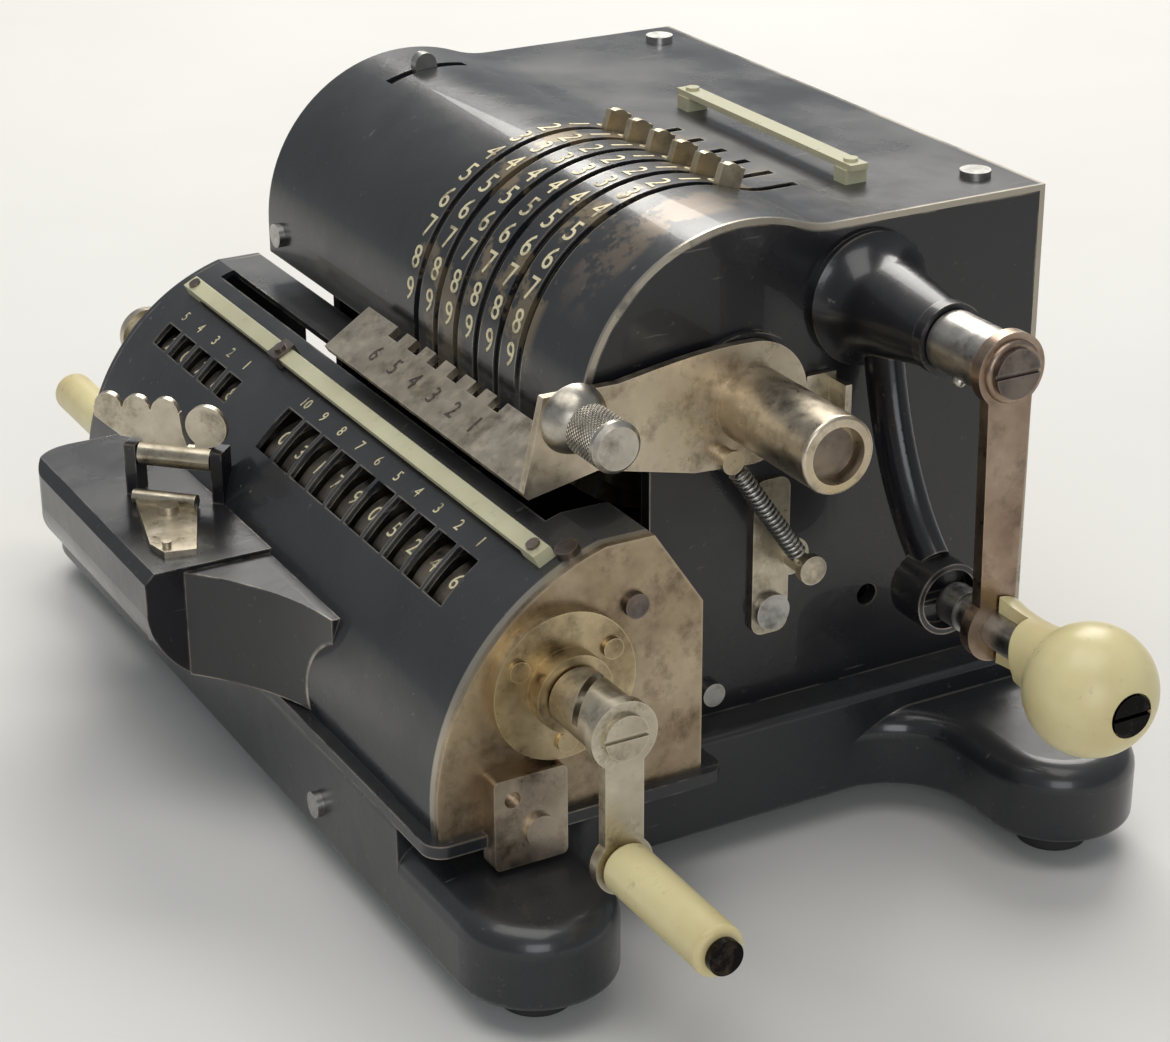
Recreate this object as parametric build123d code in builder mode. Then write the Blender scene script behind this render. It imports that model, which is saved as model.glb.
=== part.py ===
from build123d import *
from math import atan2, cos, degrees, pi, radians, sin, sqrt, tan
import os

os.makedirs("parts", exist_ok=True)

# Millimetres. X runs to the operator's right, Y to the back, Z up, and the table is at Z 0.
# The drum turns about the line Y 0 along X, and places are given from it where they can be.

# Clearances
running_fit = 0.05
snug_fit = 0.03
seat_gap = 0.3

# Digit spacing
digit_pitch = 8.5
lever_count = 6
result_count = 10
counter_count = 5

# Base
foot_pad_height = 6.4
foot_pad_r = 7.0
foot_stem_r = 2.5
foot_stem_length = 4.0
foot_edge_r = 0.8
base_height = 20.6
base_margin_x = 8.0
base_margin_back = 1.0
base_lip = 1.7
base_wall = 5.0
base_floor = 4.0
base_edge_r = 1.5
lobe_reach = 39.0
lobe_width = 30.0
lobe_drop = 5.0
lobe_web_r = 16.0
lobe_edge_r = 5.0
stop_notch_room = 3.0
stop_notch_end_room = 2.1
base_screw_x = 43.2
base_screw_rise = 7.6

# Housing
housing_back_y = 67.0
sheet = 1.2
side_plate = 3.0
drum_rise = 12.1
cover_r = 34.0
flat_drop = 3.6
top_fillet_r = 21.7
cover_skirt = 7.0
side_front_inset = 14.5
side_foot_inset = 18.5
side_foot_rise = 5.0
slot_width = 2.2
slot_back_y = 26.2
hub_ring_r = 13.0
hub_ring_height = 1.3
plate_hole_y = 29.5
plate_hole_rise = 17.2
plate_hole_r = 2.2

# Screws
screw_shank_r = 1.2
screw_head_height = 1.4
small_screw_r = 2.6
slot_cut = 0.8
cover_screw_r = 3.0
cover_screw_inset_x = 10.5
cover_screw_inset_y = 8.7
front_screw_inset_x = 6.4
front_screw_drop = 1.5
foot_screw_y = -6.0
foot_screw_rise = 5.0
foot_screw_r = 2.4
foot_screw_head = 1.8

# Setting levers and pinwheels
first_lever_x = 3.7
lever_thickness = 1.8
lever_proud = 4.5
lever_tab_width = 5.0
lever_ring_r = 27.0
lever_zero_angle = 18.4
disc_room = 3.0
disc_thickness = 3.0
disc_boss_r = 12.0
disc_boss_gap = 0.1
disc_reach = 4.7
pin_count = 9
pin_width = 1.6
pin_length = 6.0
pin_first_angle = 200
pin_spacing = 12
drum_shaft_r = 4.5
drum_shaft_recess = 2.3
drum_collar_r = 7.0
drum_collar_length = 9.0
sign_lever_inset = 17.0
sign_lever_width = 2.4
sign_lever_proud = 3.5
sign_lever_angle = 6.0
sign_slot_front_y = -12.0
sign_slot_back_y = 6.0

# Setting point rail
top_rail_left_x = -11.0
top_rail_right_x = 53.0
top_rail_y = 36.0
top_rail_post = 2.8
top_rail_width = 4.0
top_rail_thickness = 1.2
top_rail_foot_inset = 3.0
top_rail_foot_length = 4.0
top_rail_foot_width = 4.8
point_screw_r = 1.4
point_screw_height = 0.6

# Gears
gear_teeth = 16
gear_width = 6.0
gear_stand = 5.1
gear_room = 6.0
gear_addendum = 0.8
gear_dedendum = 1.3
gear_tooth_tip = 0.6
gear_tooth_root = 1.8
gear_tooth_root_depth = 0.5
idler_angle = 16.06
idler_stud_r = 3.0
idler_collar = 1.5

# Crank
crank_y = 26.9
crank_drop = 15.5
crank_shaft_r = 4.5
crank_shaft_tail = 1.0
crank_screw_r = 4.6
crank_screw_height = 1.0
boss_flange_r = 13.0
boss_flange_thickness = 1.5
boss_root_r = 9.0
boss_root_length = 8.0
boss_flare_length = 4.0
boss_tip_r = 6.4
boss_bead = 0.5
boss_bead_width = 3.0
boss_length = 26.6
crank_hub_r = 5.8
crank_hub_length = 18.2
crank_hub_gap = 0.4
crank_hub_edge_r = 0.8
crank_hub_collar = 1.2
crank_bead_r = 1.2
crank_bead_place = 7.0
crank_throw = 49.6
crank_arm_thickness = 2.5
crank_arm_inset = 1.0
crank_arm_top = 9.5
crank_arm_low = 7.5
crank_eye_r = 6.2
stop_arm_root = 6.0
stop_arm_width = 4.6
stop_arm_depth = 3.4
cup_r = 7.0
cup_length = 9.0
cup_depth = 3.0
cup_wall = 1.2
cup_bar = 0.6
stem_r = 3.4
stem_stand = 3.8
stem_collar = 0.6
stem_tip_edge_r = 1.2
spindle_r = 2.2
pull_length = 5.0
pull_gap = 0.5
ball_r = 11.8
ball_stand = 26.8
ball_gap = 0.4
ball_neck_r = 6.6
neck_length = 13.0
plug_r = 4.2
plug_seat = 1.5
plug_proud = 0.3

# Clearing comb
comb_hub_r = 7.4
comb_hub_length = 30.2
comb_hub_edge_r = 0.7
comb_hub_pocket = 3.8
comb_hub_pocket_r = 5.4
comb_plate_hub_r = 12.0
comb_plate = 1.8
comb_plate_corner = 6.0
comb_plate_dip = 1.4
comb_overhang = 15.7
comb_slope = 33.0
comb_stand = 3.0
comb_tooth_fall = 2.0
comb_bar_width = 12.0
comb_bar_thickness = 1.6
comb_notch_width = 4.2
comb_notch_room = 0.7
comb_notch_depth = 1.0
comb_notch_height = 8.0
knob_rise = 4.5
knob_r = 4.8
knob_pin_r = 2.0
knob_dome_r = 6.6
knob_dome_length = 4.4
knob_neck_r = 3.6
knob_neck_end = 6.0
knob_length = 16.0
knob_edge = 0.8
stud_y = -6.4
stud_drop = 8.8
stud_r = 1.9
stud_head = 0.4
stud_end = 1.5
post_y = 11.1
post_drop = 34.0
post_r = 2.0
post_head = 0.9
post_foot_r = 3.8
spring_wire = 0.6
spring_r = 1.6
spring_turns = 21
spring_stand = 2.9
spring_lead = 0.8
spring_half = 0.6
strap_thickness = 1.2
strap_width = 8.0
strap_length = 32.0
strap_drop = 49.0
strap_edge_r = 2.5
strap_screw_y = 6.4
strap_screw_rise = 4.9
strap_screw_r = 3.6
strap_screw_depth = 4.0
catch_gap = 0.4
catch_width = 6.4
catch_sheet = 1.2
catch_lip = 1.4
catch_lip_reach = 6.5
catch_drop = 12.0
catch_rise = 2.0

# Carriage
carriage_right_end = 23.15
carriage_left_end = 14.9
carriage_slide_left = 25.5
carriage_inset_y = 5.4
carriage_axis_rise = 7.8
carriage_r = 45.7
carriage_sheet = 1.2
carriage_end_plate = 1.5
carriage_top_drop = 1.6
carriage_top_back = 2.4
carriage_back = 7.6
carriage_back_drop = 14.9
bed_thickness = 2.5
bed_overhang = 1.9
bed_lip = 2.3
bed_back = 12.1
bed_corner_r = 4.0
sweep_left_inset = 4.0
sweep_right_room = 1.6
sweep_depth = 6.0
cover_slot_front = 15.0
cover_slot_width = 3.2
cover_slot_inset = 8.6
end_screw_front = 6.4
end_screw_drop = 12.3
end_screw_r = 2.4
end_screw_height = 1.2
corner_screw_angle = 22.0
corner_screw_inset = 4.3
corner_screw_r = 2.2

# Registers
register_angle = 46.207
wheel_room = 0.7
wheel_r = 13.6
wheel_width = 5.6
wheel_gear_r = 9.0
wheel_gear_width = 2.2
spacer_r = 5.0
register_shaft_r = 3.0
shaft_recess = 1.8
result_first_x = -8.05
register_split = 27.65
result_window_angle = 42.6
result_window_length = 10.3
result_window_width = 7.3
counter_window_angle = 42.1
counter_window_length = 5.6
counter_window_width = 6.8
window_depth = 4.0

# Decimal rail
rail_inset_left = 7.6
rail_inset_right = 5.6
rail_foot = 6.0
rail_angle = 26.7
rail_stand = 1.2
rail_thickness = 1.4
rail_width = 3.6
rail_edge_r = 0.4
pointer_x = -26.5
pointer_length = 4.5
pointer_wall = 0.7
pointer_rivet_r = 1.3
pointer_rivet_height = 0.65

# Clearing cranks
flange_r = 14.0
flange_thickness = 2.9
flange_screw_ring = 10.6
flange_screw_r = 2.0
flange_screw_height = 0.8
brass_ring_r = 7.4
brass_ring_length = 3.6
clear_sleeve_r = 5.6
clear_sleeve_length = 14.4
clear_sleeve_edge_r = 0.5
clear_sleeve_slot = 1.6
clear_sleeve_slot_place = 5.5
clear_sleeve_slot_turn = 35
clear_arm_thickness = 2.3
clear_arm_width = 7.5
clear_throw = 25.0
clear_eye_r = 6.4
clear_low_eye_r = 5.6
clear_screw_r = 4.2
clear_screw_height = 1.0
clear_handle_r = 4.8
clear_handle_length = 31.0
clear_handle_edge_r = 1.2
clear_pin_r = 1.8
clear_pin_head_r = 3.2
clear_pin_head = 1.5
counter_arm_angle = 20.0

# Stop block
stop_thickness = 4.4
stop_front = 15.1
stop_back = 0.6
stop_drop = 3.5
stop_top_gap = 0.4
stop_edge_r = 1.2
stop_screw_back = 1.5
stop_screw_rise = 6.5
stop_screw_r = 3.0
stop_screw_height = 1.2
stop_hole_r = 1.6
stop_hole_depth = 2.0
stop_hole_front = 3.6
stop_hole_drop = 4.2

# Grip and release lever
horn_left_x = -58.0
horn_right_x = 12.0
horn_reach = 22.2
horn_height = 25.9
horn_lip = 2.0
horn_face = 9.0
horn_belly = 17.0
horn_corner = 10.0
horn_overlap = 20.0
neck_right_x = 45.0
neck_drop = 4.0
neck_rise = 3.0
neck_inset = 8.0
release_x = -26.7
release_inset = 14.8
release_rise = 8.5
release_turn = 45.6
release_shaft_r = 1.2
release_tube = 1.4
release_length = 15.5
release_sheet = 1.4
release_lift = 3.2
release_top = 11.5
scallop_left = -9.5
scallop_pitch = 3.08
scallop_r = 2.9
scallop_drop = 2.0
wing_r = 4.4
wing_place = 14.6
wing_neck = 3.0
wing_neck_shift = 1.1
release_ear = 2.5
release_ear_width = 5.0
release_ear_foot = 1.0
ear_step = 0.2
clip_offset = 6.0
clip_length = 13.5
clip_start = 0.5
clip_thickness = 1.2
clip_barrel_r = 1.5
clip_tip_x = 3.8
clip_tip_inset = 7.9
clip_screw_side = 14.2
clip_screw_r = 2.2
clip_screw_height = 1.2
clip_pin_r = 0.9

# The origin lies on the table under the middle of the whole machine, this far from the drum's line
origin_right = 5.565
origin_front = 14.25
to_origin = Location((-origin_right, origin_front, 0))

# Heights and places that follow
base_top_z = foot_pad_height + base_height
carriage_axis_y = carriage_inset_y - cover_r
carriage_axis_z = base_top_z + carriage_axis_rise
carriage_top_z = carriage_axis_z + carriage_r - carriage_top_drop
drum_z = carriage_top_z + drum_rise
flat_z = drum_z + cover_r - flat_drop
cover_foot_z = drum_z - cover_skirt
crank_z = flat_z - crank_drop
lever_places = [first_lever_x + i * digit_pitch for i in range(lever_count)]
result_places = [result_first_x + i * digit_pitch for i in range(result_count)]
counter_first_x = result_first_x - register_split - (counter_count - 1) * digit_pitch
counter_places = [counter_first_x + i * digit_pitch for i in range(counter_count)]
carriage_right_x = result_places[-1] + carriage_right_end
carriage_left_x = counter_first_x - carriage_left_end
gear_x = lever_places[-1] - disc_reach + digit_pitch - disc_boss_gap + gear_stand
housing_half_x = gear_x + gear_width + gear_room + side_plate
register_reach = carriage_r - carriage_sheet - wheel_r - wheel_room
register_y = carriage_axis_y - register_reach * sin(radians(register_angle))
register_z = carriage_axis_z + register_reach * cos(radians(register_angle))

shaft_gap = sqrt(crank_y**2 + (crank_z - drum_z) ** 2)
idler_offset = shaft_gap / 2 * tan(radians(idler_angle))
gear_pitch_r = shaft_gap / 4 / cos(radians(idler_angle))
gear_root_r = gear_pitch_r - gear_dedendum
gear_tip_r = gear_pitch_r + gear_addendum
tooth_step = 360 / gear_teeth
idler_y = crank_y / 2 + idler_offset * (crank_z - drum_z) / shaft_gap
idler_z = (crank_z + drum_z) / 2 - idler_offset * crank_y / shaft_gap
crank_to_idler = degrees(atan2(idler_z - crank_z, idler_y - crank_y))
idler_to_drum = degrees(atan2(drum_z - idler_z, -idler_y))
idler_first_angle = crank_to_idler + 180 + tooth_step / 2
drum_first_angle = 2 * idler_to_drum + 180 + tooth_step / 2 - idler_first_angle

base_half_x = housing_half_x + base_margin_x
base_front_y = carriage_axis_y - carriage_r - base_lip
base_back_y = housing_back_y + base_margin_back
side_front_y = side_front_inset - cover_r
side_foot_y = side_foot_inset - cover_r
side_foot_z = base_top_z + side_foot_rise
foot_screw_z = base_top_z + foot_screw_rise
plate_hole_z = base_top_z + plate_hole_rise
cover_screw_x = housing_half_x - cover_screw_inset_x
cover_screw_y = housing_back_y - cover_screw_inset_y
front_screw_x = housing_half_x - front_screw_inset_x
front_screw_z = drum_z - front_screw_drop
base_screw_z = foot_pad_height + base_screw_rise
lever_tip_r = cover_r + lever_proud
disc_r = cover_r - disc_room
sign_lever_x = sign_lever_inset - housing_half_x
sign_lever_r = cover_r + sign_lever_proud
boss_end_x = housing_half_x + boss_length
crank_hub_start_x = boss_end_x + crank_hub_gap
crank_screw_x = crank_hub_start_x + crank_hub_length
arm_outer_x = crank_screw_x - crank_arm_inset
arm_inner_x = arm_outer_x - crank_arm_thickness
handle_z = crank_z - crank_throw
stem_tip_x = boss_end_x + stem_stand
cup_front_x = stem_tip_x - seat_gap
ball_x = arm_outer_x + ball_stand
ball_start_x = arm_outer_x + ball_gap
ball_end_x = ball_x + sqrt(ball_r**2 - plug_r**2)
neck_root_x = ball_x - neck_length
comb_plate_x = housing_half_x + hub_ring_height + seat_gap
comb_outer_x = comb_plate_x + comb_plate
comb_left_x = first_lever_x - comb_overhang
comb_hub_end_x = comb_plate_x + comb_hub_length
comb_tooth_r = cover_r + comb_stand
notch_r = lever_tip_r + comb_notch_room
drum_shaft_end_x = comb_hub_end_x - drum_shaft_recess
knob_y = -comb_tooth_r
knob_z = drum_z + knob_rise
spring_x = comb_outer_x + spring_stand
stud_z = drum_z - stud_drop
post_z = drum_z - post_drop
stud_end_x = spring_x + stud_end
post_end_x = stud_end_x + post_head
strap_low_z = drum_z - strap_drop
strap_screw_z = strap_low_z + strap_screw_rise
bed_low_z = base_top_z + seat_gap
bed_top_z = bed_low_z + bed_thickness
bed_front_y = carriage_axis_y - carriage_r - bed_lip
bed_back_y = carriage_axis_y + bed_back
carriage_top_back_y = carriage_axis_y - carriage_top_back
carriage_back_y = carriage_axis_y + carriage_back
carriage_back_z = carriage_top_z - carriage_back_drop
sweep_left_x = comb_left_x + sweep_left_inset
sweep_right_x = comb_outer_x + sweep_right_room
cover_slot_y = carriage_axis_y - cover_slot_front
cover_slot_left_x = carriage_left_x + cover_slot_inset
rail_left_x = carriage_left_x + rail_inset_left
rail_right_x = carriage_right_x - rail_inset_right
stop_end_x = carriage_right_x + stop_thickness
stop_front_y = register_y - stop_front
stop_back_y = register_y - stop_back
stop_low_z = base_top_z - stop_drop
stop_top_z = register_z - flange_r - stop_top_gap
stop_mid_y = (stop_front_y + stop_back_y) / 2
horn_front_y = carriage_axis_y - carriage_r - horn_reach
horn_back_y = carriage_axis_y - horn_overlap
horn_low_z = bed_low_z + seat_gap
horn_top_z = horn_low_z + horn_height
release_y = horn_front_y + release_inset
release_z = horn_top_z + release_rise


def bar_x(start, end, y, z, radius, mode=Mode.ADD):
    with Locations(((start + end) / 2, y, z)):
        Cylinder(radius, end - start, rotation=(0, 90, 0), mode=mode)


def block(x0, x1, y0, y1, z0, z1, mode=Mode.ADD):
    with Locations(((x0 + x1) / 2, (y0 + y1) / 2, (z0 + z1) / 2)):
        Box(x1 - x0, y1 - y0, z1 - z0, mode=mode)


def side_plane(x, y=0, z=0):
    return Plane((x, y, z), x_dir=(0, 1, 0), z_dir=(1, 0, 0))


def housing_section(inset, x):
    reach = cover_r + top_fillet_r
    centre_z = flat_z + top_fillet_r
    centre_y = sqrt(reach**2 - (centre_z - drum_z) ** 2)
    round_r = cover_r - inset
    hollow_r = top_fillet_r + inset
    touch_y = centre_y * round_r / reach
    touch_z = drum_z + (centre_z - drum_z) * round_r / reach
    half = radians(45)
    mid_y = centre_y - hollow_r * sin(pi / 2 - half) * 0.25
    mid_z = centre_z - sqrt(hollow_r**2 - (centre_y - mid_y) ** 2)
    back = housing_back_y - inset
    low = base_top_z - base_floor
    with BuildSketch(side_plane(x)) as section:
        with BuildLine():
            Line((-round_r, low), (-round_r, drum_z))
            ThreePointArc(
                (-round_r, drum_z),
                (-round_r * cos(half), drum_z + round_r * sin(half)),
                (touch_y, touch_z),
            )
            ThreePointArc((touch_y, touch_z), (mid_y, mid_z), (centre_y, flat_z - inset))
            Line((centre_y, flat_z - inset), (back, flat_z - inset))
            Line((back, flat_z - inset), (back, low))
            Line((back, low), (-round_r, low))
        make_face()
    return section.sketch


# ---------------------------------------------------------------- base
lobe_r = lobe_width / 2
lobe_x = base_half_x + lobe_reach - lobe_r
lobe_front_y = base_front_y + lobe_r
lobe_back_y = base_back_y - lobe_r
lobe_top_z = base_top_z - lobe_drop
foot_places = [
    (lobe_x, lobe_front_y),
    (-lobe_x, lobe_front_y),
    (lobe_x, lobe_back_y),
    (-lobe_x, lobe_back_y),
]
base_mid_y = (base_front_y + base_back_y) / 2
base_depth = base_back_y - base_front_y

with BuildPart() as base_frame:
    with BuildSketch(Plane.XY.offset(foot_pad_height)):
        with Locations((0, base_mid_y)):
            Rectangle(2 * base_half_x, base_depth)
        for lobe_y in (lobe_front_y, lobe_back_y):
            with Locations((0, lobe_y)):
                Rectangle(2 * lobe_x, lobe_width)
            with Locations((lobe_x, lobe_y), (-lobe_x, lobe_y)):
                Circle(lobe_r)
    extrude(amount=lobe_top_z - foot_pad_height)
    web_edges = base_frame.edges().filter_by(Axis.Z).filter_by(
        lambda e: abs(abs(e.center().X) - base_half_x) < 0.1
        and abs(e.center().Y - base_mid_y) < base_depth / 2 - lobe_width / 2
    )
    fillet(web_edges, radius=lobe_web_r)
    fillet(base_frame.faces().sort_by(Axis.Z)[-1].edges(), radius=lobe_edge_r)
    fillet(base_frame.faces().sort_by(Axis.Z)[0].edges(), radius=base_edge_r)
    block(
        -base_half_x, base_half_x, base_front_y, base_back_y,
        foot_pad_height + lobe_edge_r, base_top_z,
    )
    fillet(base_frame.faces().sort_by(Axis.Z)[-1].edges(), radius=base_edge_r)
    block(
        -base_half_x + base_wall, base_half_x - base_wall,
        base_front_y + base_wall, base_back_y - base_wall,
        foot_pad_height, base_top_z - base_floor,
        mode=Mode.SUBTRACT,
    )
    block(
        carriage_right_x - carriage_slide_left - stop_notch_end_room, base_half_x,
        stop_front_y - stop_notch_room, stop_back_y + stop_notch_room,
        stop_low_z - stop_notch_room, base_top_z, mode=Mode.SUBTRACT,
    )
    with Locations(*[(x, y, foot_pad_height) for x, y in foot_places]):
        Cylinder(
            foot_stem_r + running_fit, foot_stem_length + seat_gap,
            align=(Align.CENTER, Align.CENTER, Align.MIN), mode=Mode.SUBTRACT,
        )
base_frame.part.label = "base_frame"
export_step(base_frame.part.moved(to_origin), "parts/base_frame.step")

with BuildPart() as rubber_feet:
    with Locations(*[(x, y, 0) for x, y in foot_places]):
        Cylinder(foot_pad_r, foot_pad_height, align=(Align.CENTER, Align.CENTER, Align.MIN))
    fillet(rubber_feet.edges().filter_by(GeomType.CIRCLE).group_by(Axis.Z)[0], radius=foot_edge_r)
    with Locations(*[(x, y, foot_pad_height) for x, y in foot_places]):
        Cylinder(foot_stem_r, foot_stem_length, align=(Align.CENTER, Align.CENTER, Align.MIN))
rubber_feet.part.label = "rubber_feet"
export_step(rubber_feet.part.moved(to_origin), "parts/rubber_feet.step")

# ---------------------------------------------------------------- housing
with BuildPart() as top_cover:
    extrude(housing_section(0, -housing_half_x), amount=2 * housing_half_x)
    extrude(housing_section(sheet, -housing_half_x), amount=2 * housing_half_x, mode=Mode.SUBTRACT)
    block(
        -housing_half_x, housing_half_x, -cover_r, housing_back_y,
        0, base_top_z, mode=Mode.SUBTRACT,
    )
    block(
        -housing_half_x, housing_half_x, -cover_r, -cover_r + sheet,
        base_top_z, cover_foot_z, mode=Mode.SUBTRACT,
    )
    for lever_x in lever_places:
        block(
            lever_x - slot_width / 2, lever_x + slot_width / 2, -cover_r, slot_back_y,
            cover_foot_z, drum_z + cover_r, mode=Mode.SUBTRACT,
        )
    block(
        sign_lever_x - sign_lever_width / 2 - seat_gap, sign_lever_x + sign_lever_width / 2 + seat_gap,
        sign_slot_front_y, sign_slot_back_y, drum_z, drum_z + cover_r, mode=Mode.SUBTRACT,
    )
    with Locations(*[(x, cover_screw_y, flat_z) for x in (-cover_screw_x, cover_screw_x)]):
        Cylinder(screw_shank_r + running_fit, 2 * sheet, mode=Mode.SUBTRACT)
    with Locations(*[(x, -cover_r, front_screw_z) for x in (-front_screw_x, front_screw_x)]):
        Cylinder(screw_shank_r + running_fit, 3 * sheet, rotation=(90, 0, 0), mode=Mode.SUBTRACT)
top_cover.part.label = "top_cover"
export_step(top_cover.part.moved(to_origin), "parts/top_cover.step")

for side, plate_name in ((1, "right_side_plate"), (-1, "left_side_plate")):
    outer_x = side * housing_half_x
    start_x = outer_x - side_plate if side > 0 else outer_x
    with BuildPart() as side_wall:
        extrude(housing_section(sheet + snug_fit, start_x), amount=side_plate)
        block(
            start_x, start_x + side_plate, -cover_r, side_front_y,
            0, cover_foot_z, mode=Mode.SUBTRACT,
        )
        block(
            start_x, start_x + side_plate, -cover_r, side_foot_y,
            0, side_foot_z, mode=Mode.SUBTRACT,
        )
        block(
            start_x, start_x + side_plate, -cover_r, housing_back_y,
            0, base_top_z, mode=Mode.SUBTRACT,
        )
        if side > 0:
            bar_x(housing_half_x, housing_half_x + hub_ring_height, 0, drum_z, hub_ring_r)
            bar_x(
                start_x, outer_x, crank_y, crank_z, crank_shaft_r + running_fit,
                mode=Mode.SUBTRACT,
            )
            bar_x(start_x, outer_x, plate_hole_y, plate_hole_z, plate_hole_r, mode=Mode.SUBTRACT)
            bar_x(
                start_x, outer_x, strap_screw_y, strap_screw_z, screw_shank_r + running_fit,
                mode=Mode.SUBTRACT,
            )
            bar_x(
                start_x, outer_x, foot_screw_y, foot_screw_z, screw_shank_r + running_fit,
                mode=Mode.SUBTRACT,
            )
            bar_x(gear_x, start_x, idler_y, idler_z, idler_stud_r)
            bar_x(gear_x + gear_width + seat_gap, start_x, idler_y, idler_z, idler_stud_r + idler_collar)
        bar_x(
            start_x, start_x + side_plate + hub_ring_height, 0, drum_z,
            drum_shaft_r + running_fit, mode=Mode.SUBTRACT,
        )
    side_wall.part.label = plate_name
    export_step(side_wall.part.moved(to_origin), f"parts/{plate_name}.step")

with BuildPart() as frame_screws:
    for x in (-cover_screw_x, cover_screw_x):
        with Locations((x, cover_screw_y, flat_z)):
            Cylinder(cover_screw_r, screw_head_height, align=(Align.CENTER, Align.CENTER, Align.MIN))
            Cylinder(screw_shank_r, 2 * sheet, align=(Align.CENTER, Align.CENTER, Align.MAX))
    for x in (-front_screw_x, front_screw_x):
        with Locations(Location((x, -cover_r, front_screw_z), (90, 0, 0))):
            Cylinder(small_screw_r, screw_head_height, align=(Align.CENTER, Align.CENTER, Align.MIN))
            Cylinder(screw_shank_r, 2 * sheet, align=(Align.CENTER, Align.CENTER, Align.MAX))
    strap_face_x = housing_half_x + strap_thickness
    bar_x(strap_face_x, strap_face_x + screw_head_height, strap_screw_y, strap_screw_z, strap_screw_r)
    bar_x(strap_face_x - strap_screw_depth, strap_face_x, strap_screw_y, strap_screw_z, screw_shank_r)
    bar_x(housing_half_x, housing_half_x + foot_screw_head, foot_screw_y, foot_screw_z, foot_screw_r)
    bar_x(housing_half_x - side_plate, housing_half_x, foot_screw_y, foot_screw_z, screw_shank_r)
    for x in (base_screw_x, -base_screw_x):
        with Locations(Location((x, base_front_y, base_screw_z), (90, 0, 0))):
            Cylinder(small_screw_r, screw_head_height, align=(Align.CENTER, Align.CENTER, Align.MIN))
frame_screws.part.label = "frame_screws"
export_step(frame_screws.part.moved(to_origin), "parts/frame_screws.step")

with BuildPart() as setting_point_rail:
    block(
        top_rail_left_x, top_rail_right_x,
        top_rail_y - top_rail_width / 2, top_rail_y + top_rail_width / 2,
        flat_z + top_rail_post, flat_z + top_rail_post + top_rail_thickness,
    )
    for x in (top_rail_left_x + top_rail_foot_inset, top_rail_right_x - top_rail_foot_inset):
        block(
            x - top_rail_foot_length / 2, x + top_rail_foot_length / 2,
            top_rail_y - top_rail_foot_width / 2, top_rail_y + top_rail_foot_width / 2,
            flat_z, flat_z + top_rail_post,
        )
        with Locations((x, top_rail_y, flat_z + top_rail_post + top_rail_thickness)):
            Cylinder(point_screw_r, point_screw_height, align=(Align.CENTER, Align.CENTER, Align.MIN))
setting_point_rail.part.label = "setting_point_rail"
export_step(setting_point_rail.part.moved(to_origin), "parts/setting_point_rail.step")

# ---------------------------------------------------------------- crank bearing
flange_face_x = housing_half_x + boss_flange_thickness
boss_flare_r = boss_root_r + (boss_flange_r - boss_root_r) * 0.4
with BuildPart() as crank_bearing:
    with BuildSketch(Plane((0, crank_y, crank_z), x_dir=(1, 0, 0), z_dir=(0, -1, 0))):
        with BuildLine():
            Polyline(
                (housing_half_x, crank_shaft_r + running_fit),
                (housing_half_x, boss_flange_r),
                (flange_face_x, boss_flange_r),
            )
            Spline(
                (flange_face_x, boss_flange_r),
                (housing_half_x + boss_flare_length, boss_flare_r),
                (housing_half_x + boss_root_length, boss_root_r),
            )
            Polyline(
                (housing_half_x + boss_root_length, boss_root_r),
                (boss_end_x - boss_bead_width, boss_tip_r),
                (boss_end_x - boss_bead_width + boss_bead, boss_tip_r + boss_bead),
                (boss_end_x, boss_tip_r + boss_bead),
                (boss_end_x, crank_shaft_r + running_fit),
                (housing_half_x, crank_shaft_r + running_fit),
            )
        make_face()
    revolve(axis=Axis((0, crank_y, crank_z), (1, 0, 0)))
    with BuildLine():
        stop_path = Spline(
            (housing_half_x + stop_arm_root, crank_y, crank_z - boss_root_r + 1),
            (housing_half_x + stop_arm_root + 3, crank_y, crank_z - crank_throw * 0.4),
            (housing_half_x + stop_arm_root + 9, crank_y, handle_z + crank_throw * 0.32),
            (cup_front_x - cup_length * 0.7, crank_y, handle_z + cup_r * 0.7),
        )
    with BuildSketch(Plane(origin=stop_path @ 0, z_dir=stop_path % 0)):
        Ellipse(stop_arm_width, stop_arm_depth)
    sweep()
    bar_x(cup_front_x - cup_length, cup_front_x, crank_y, handle_z, cup_r)
    bar_x(
        cup_front_x - cup_depth, cup_front_x, crank_y, handle_z, cup_r - cup_wall,
        mode=Mode.SUBTRACT,
    )
    block(
        cup_front_x - cup_depth, cup_front_x - cup_bar,
        crank_y - cup_r + cup_wall / 2, crank_y + cup_r - cup_wall / 2,
        handle_z - cup_bar, handle_z + cup_bar,
    )
    bar_x(
        housing_half_x, boss_end_x, crank_y, crank_z, crank_shaft_r + running_fit,
        mode=Mode.SUBTRACT,
    )
crank_bearing.part.label = "crank_bearing"
export_step(crank_bearing.part.moved(to_origin), "parts/crank_bearing.step")

# ---------------------------------------------------------------- gears and shafts
def gear_outline(y, z, first_angle):
    with BuildSketch(side_plane(gear_x, y, z)) as wheel:
        Circle(gear_root_r)
        with PolarLocations(0, gear_teeth, start_angle=first_angle):
            with BuildLine():
                Polyline(
                    (gear_root_r - gear_tooth_root_depth, -gear_tooth_root / 2),
                    (gear_tip_r, -gear_tooth_tip / 2),
                    (gear_tip_r, gear_tooth_tip / 2),
                    (gear_root_r - gear_tooth_root_depth, gear_tooth_root / 2),
                    close=True,
                )
            make_face()
    return wheel.sketch


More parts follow.
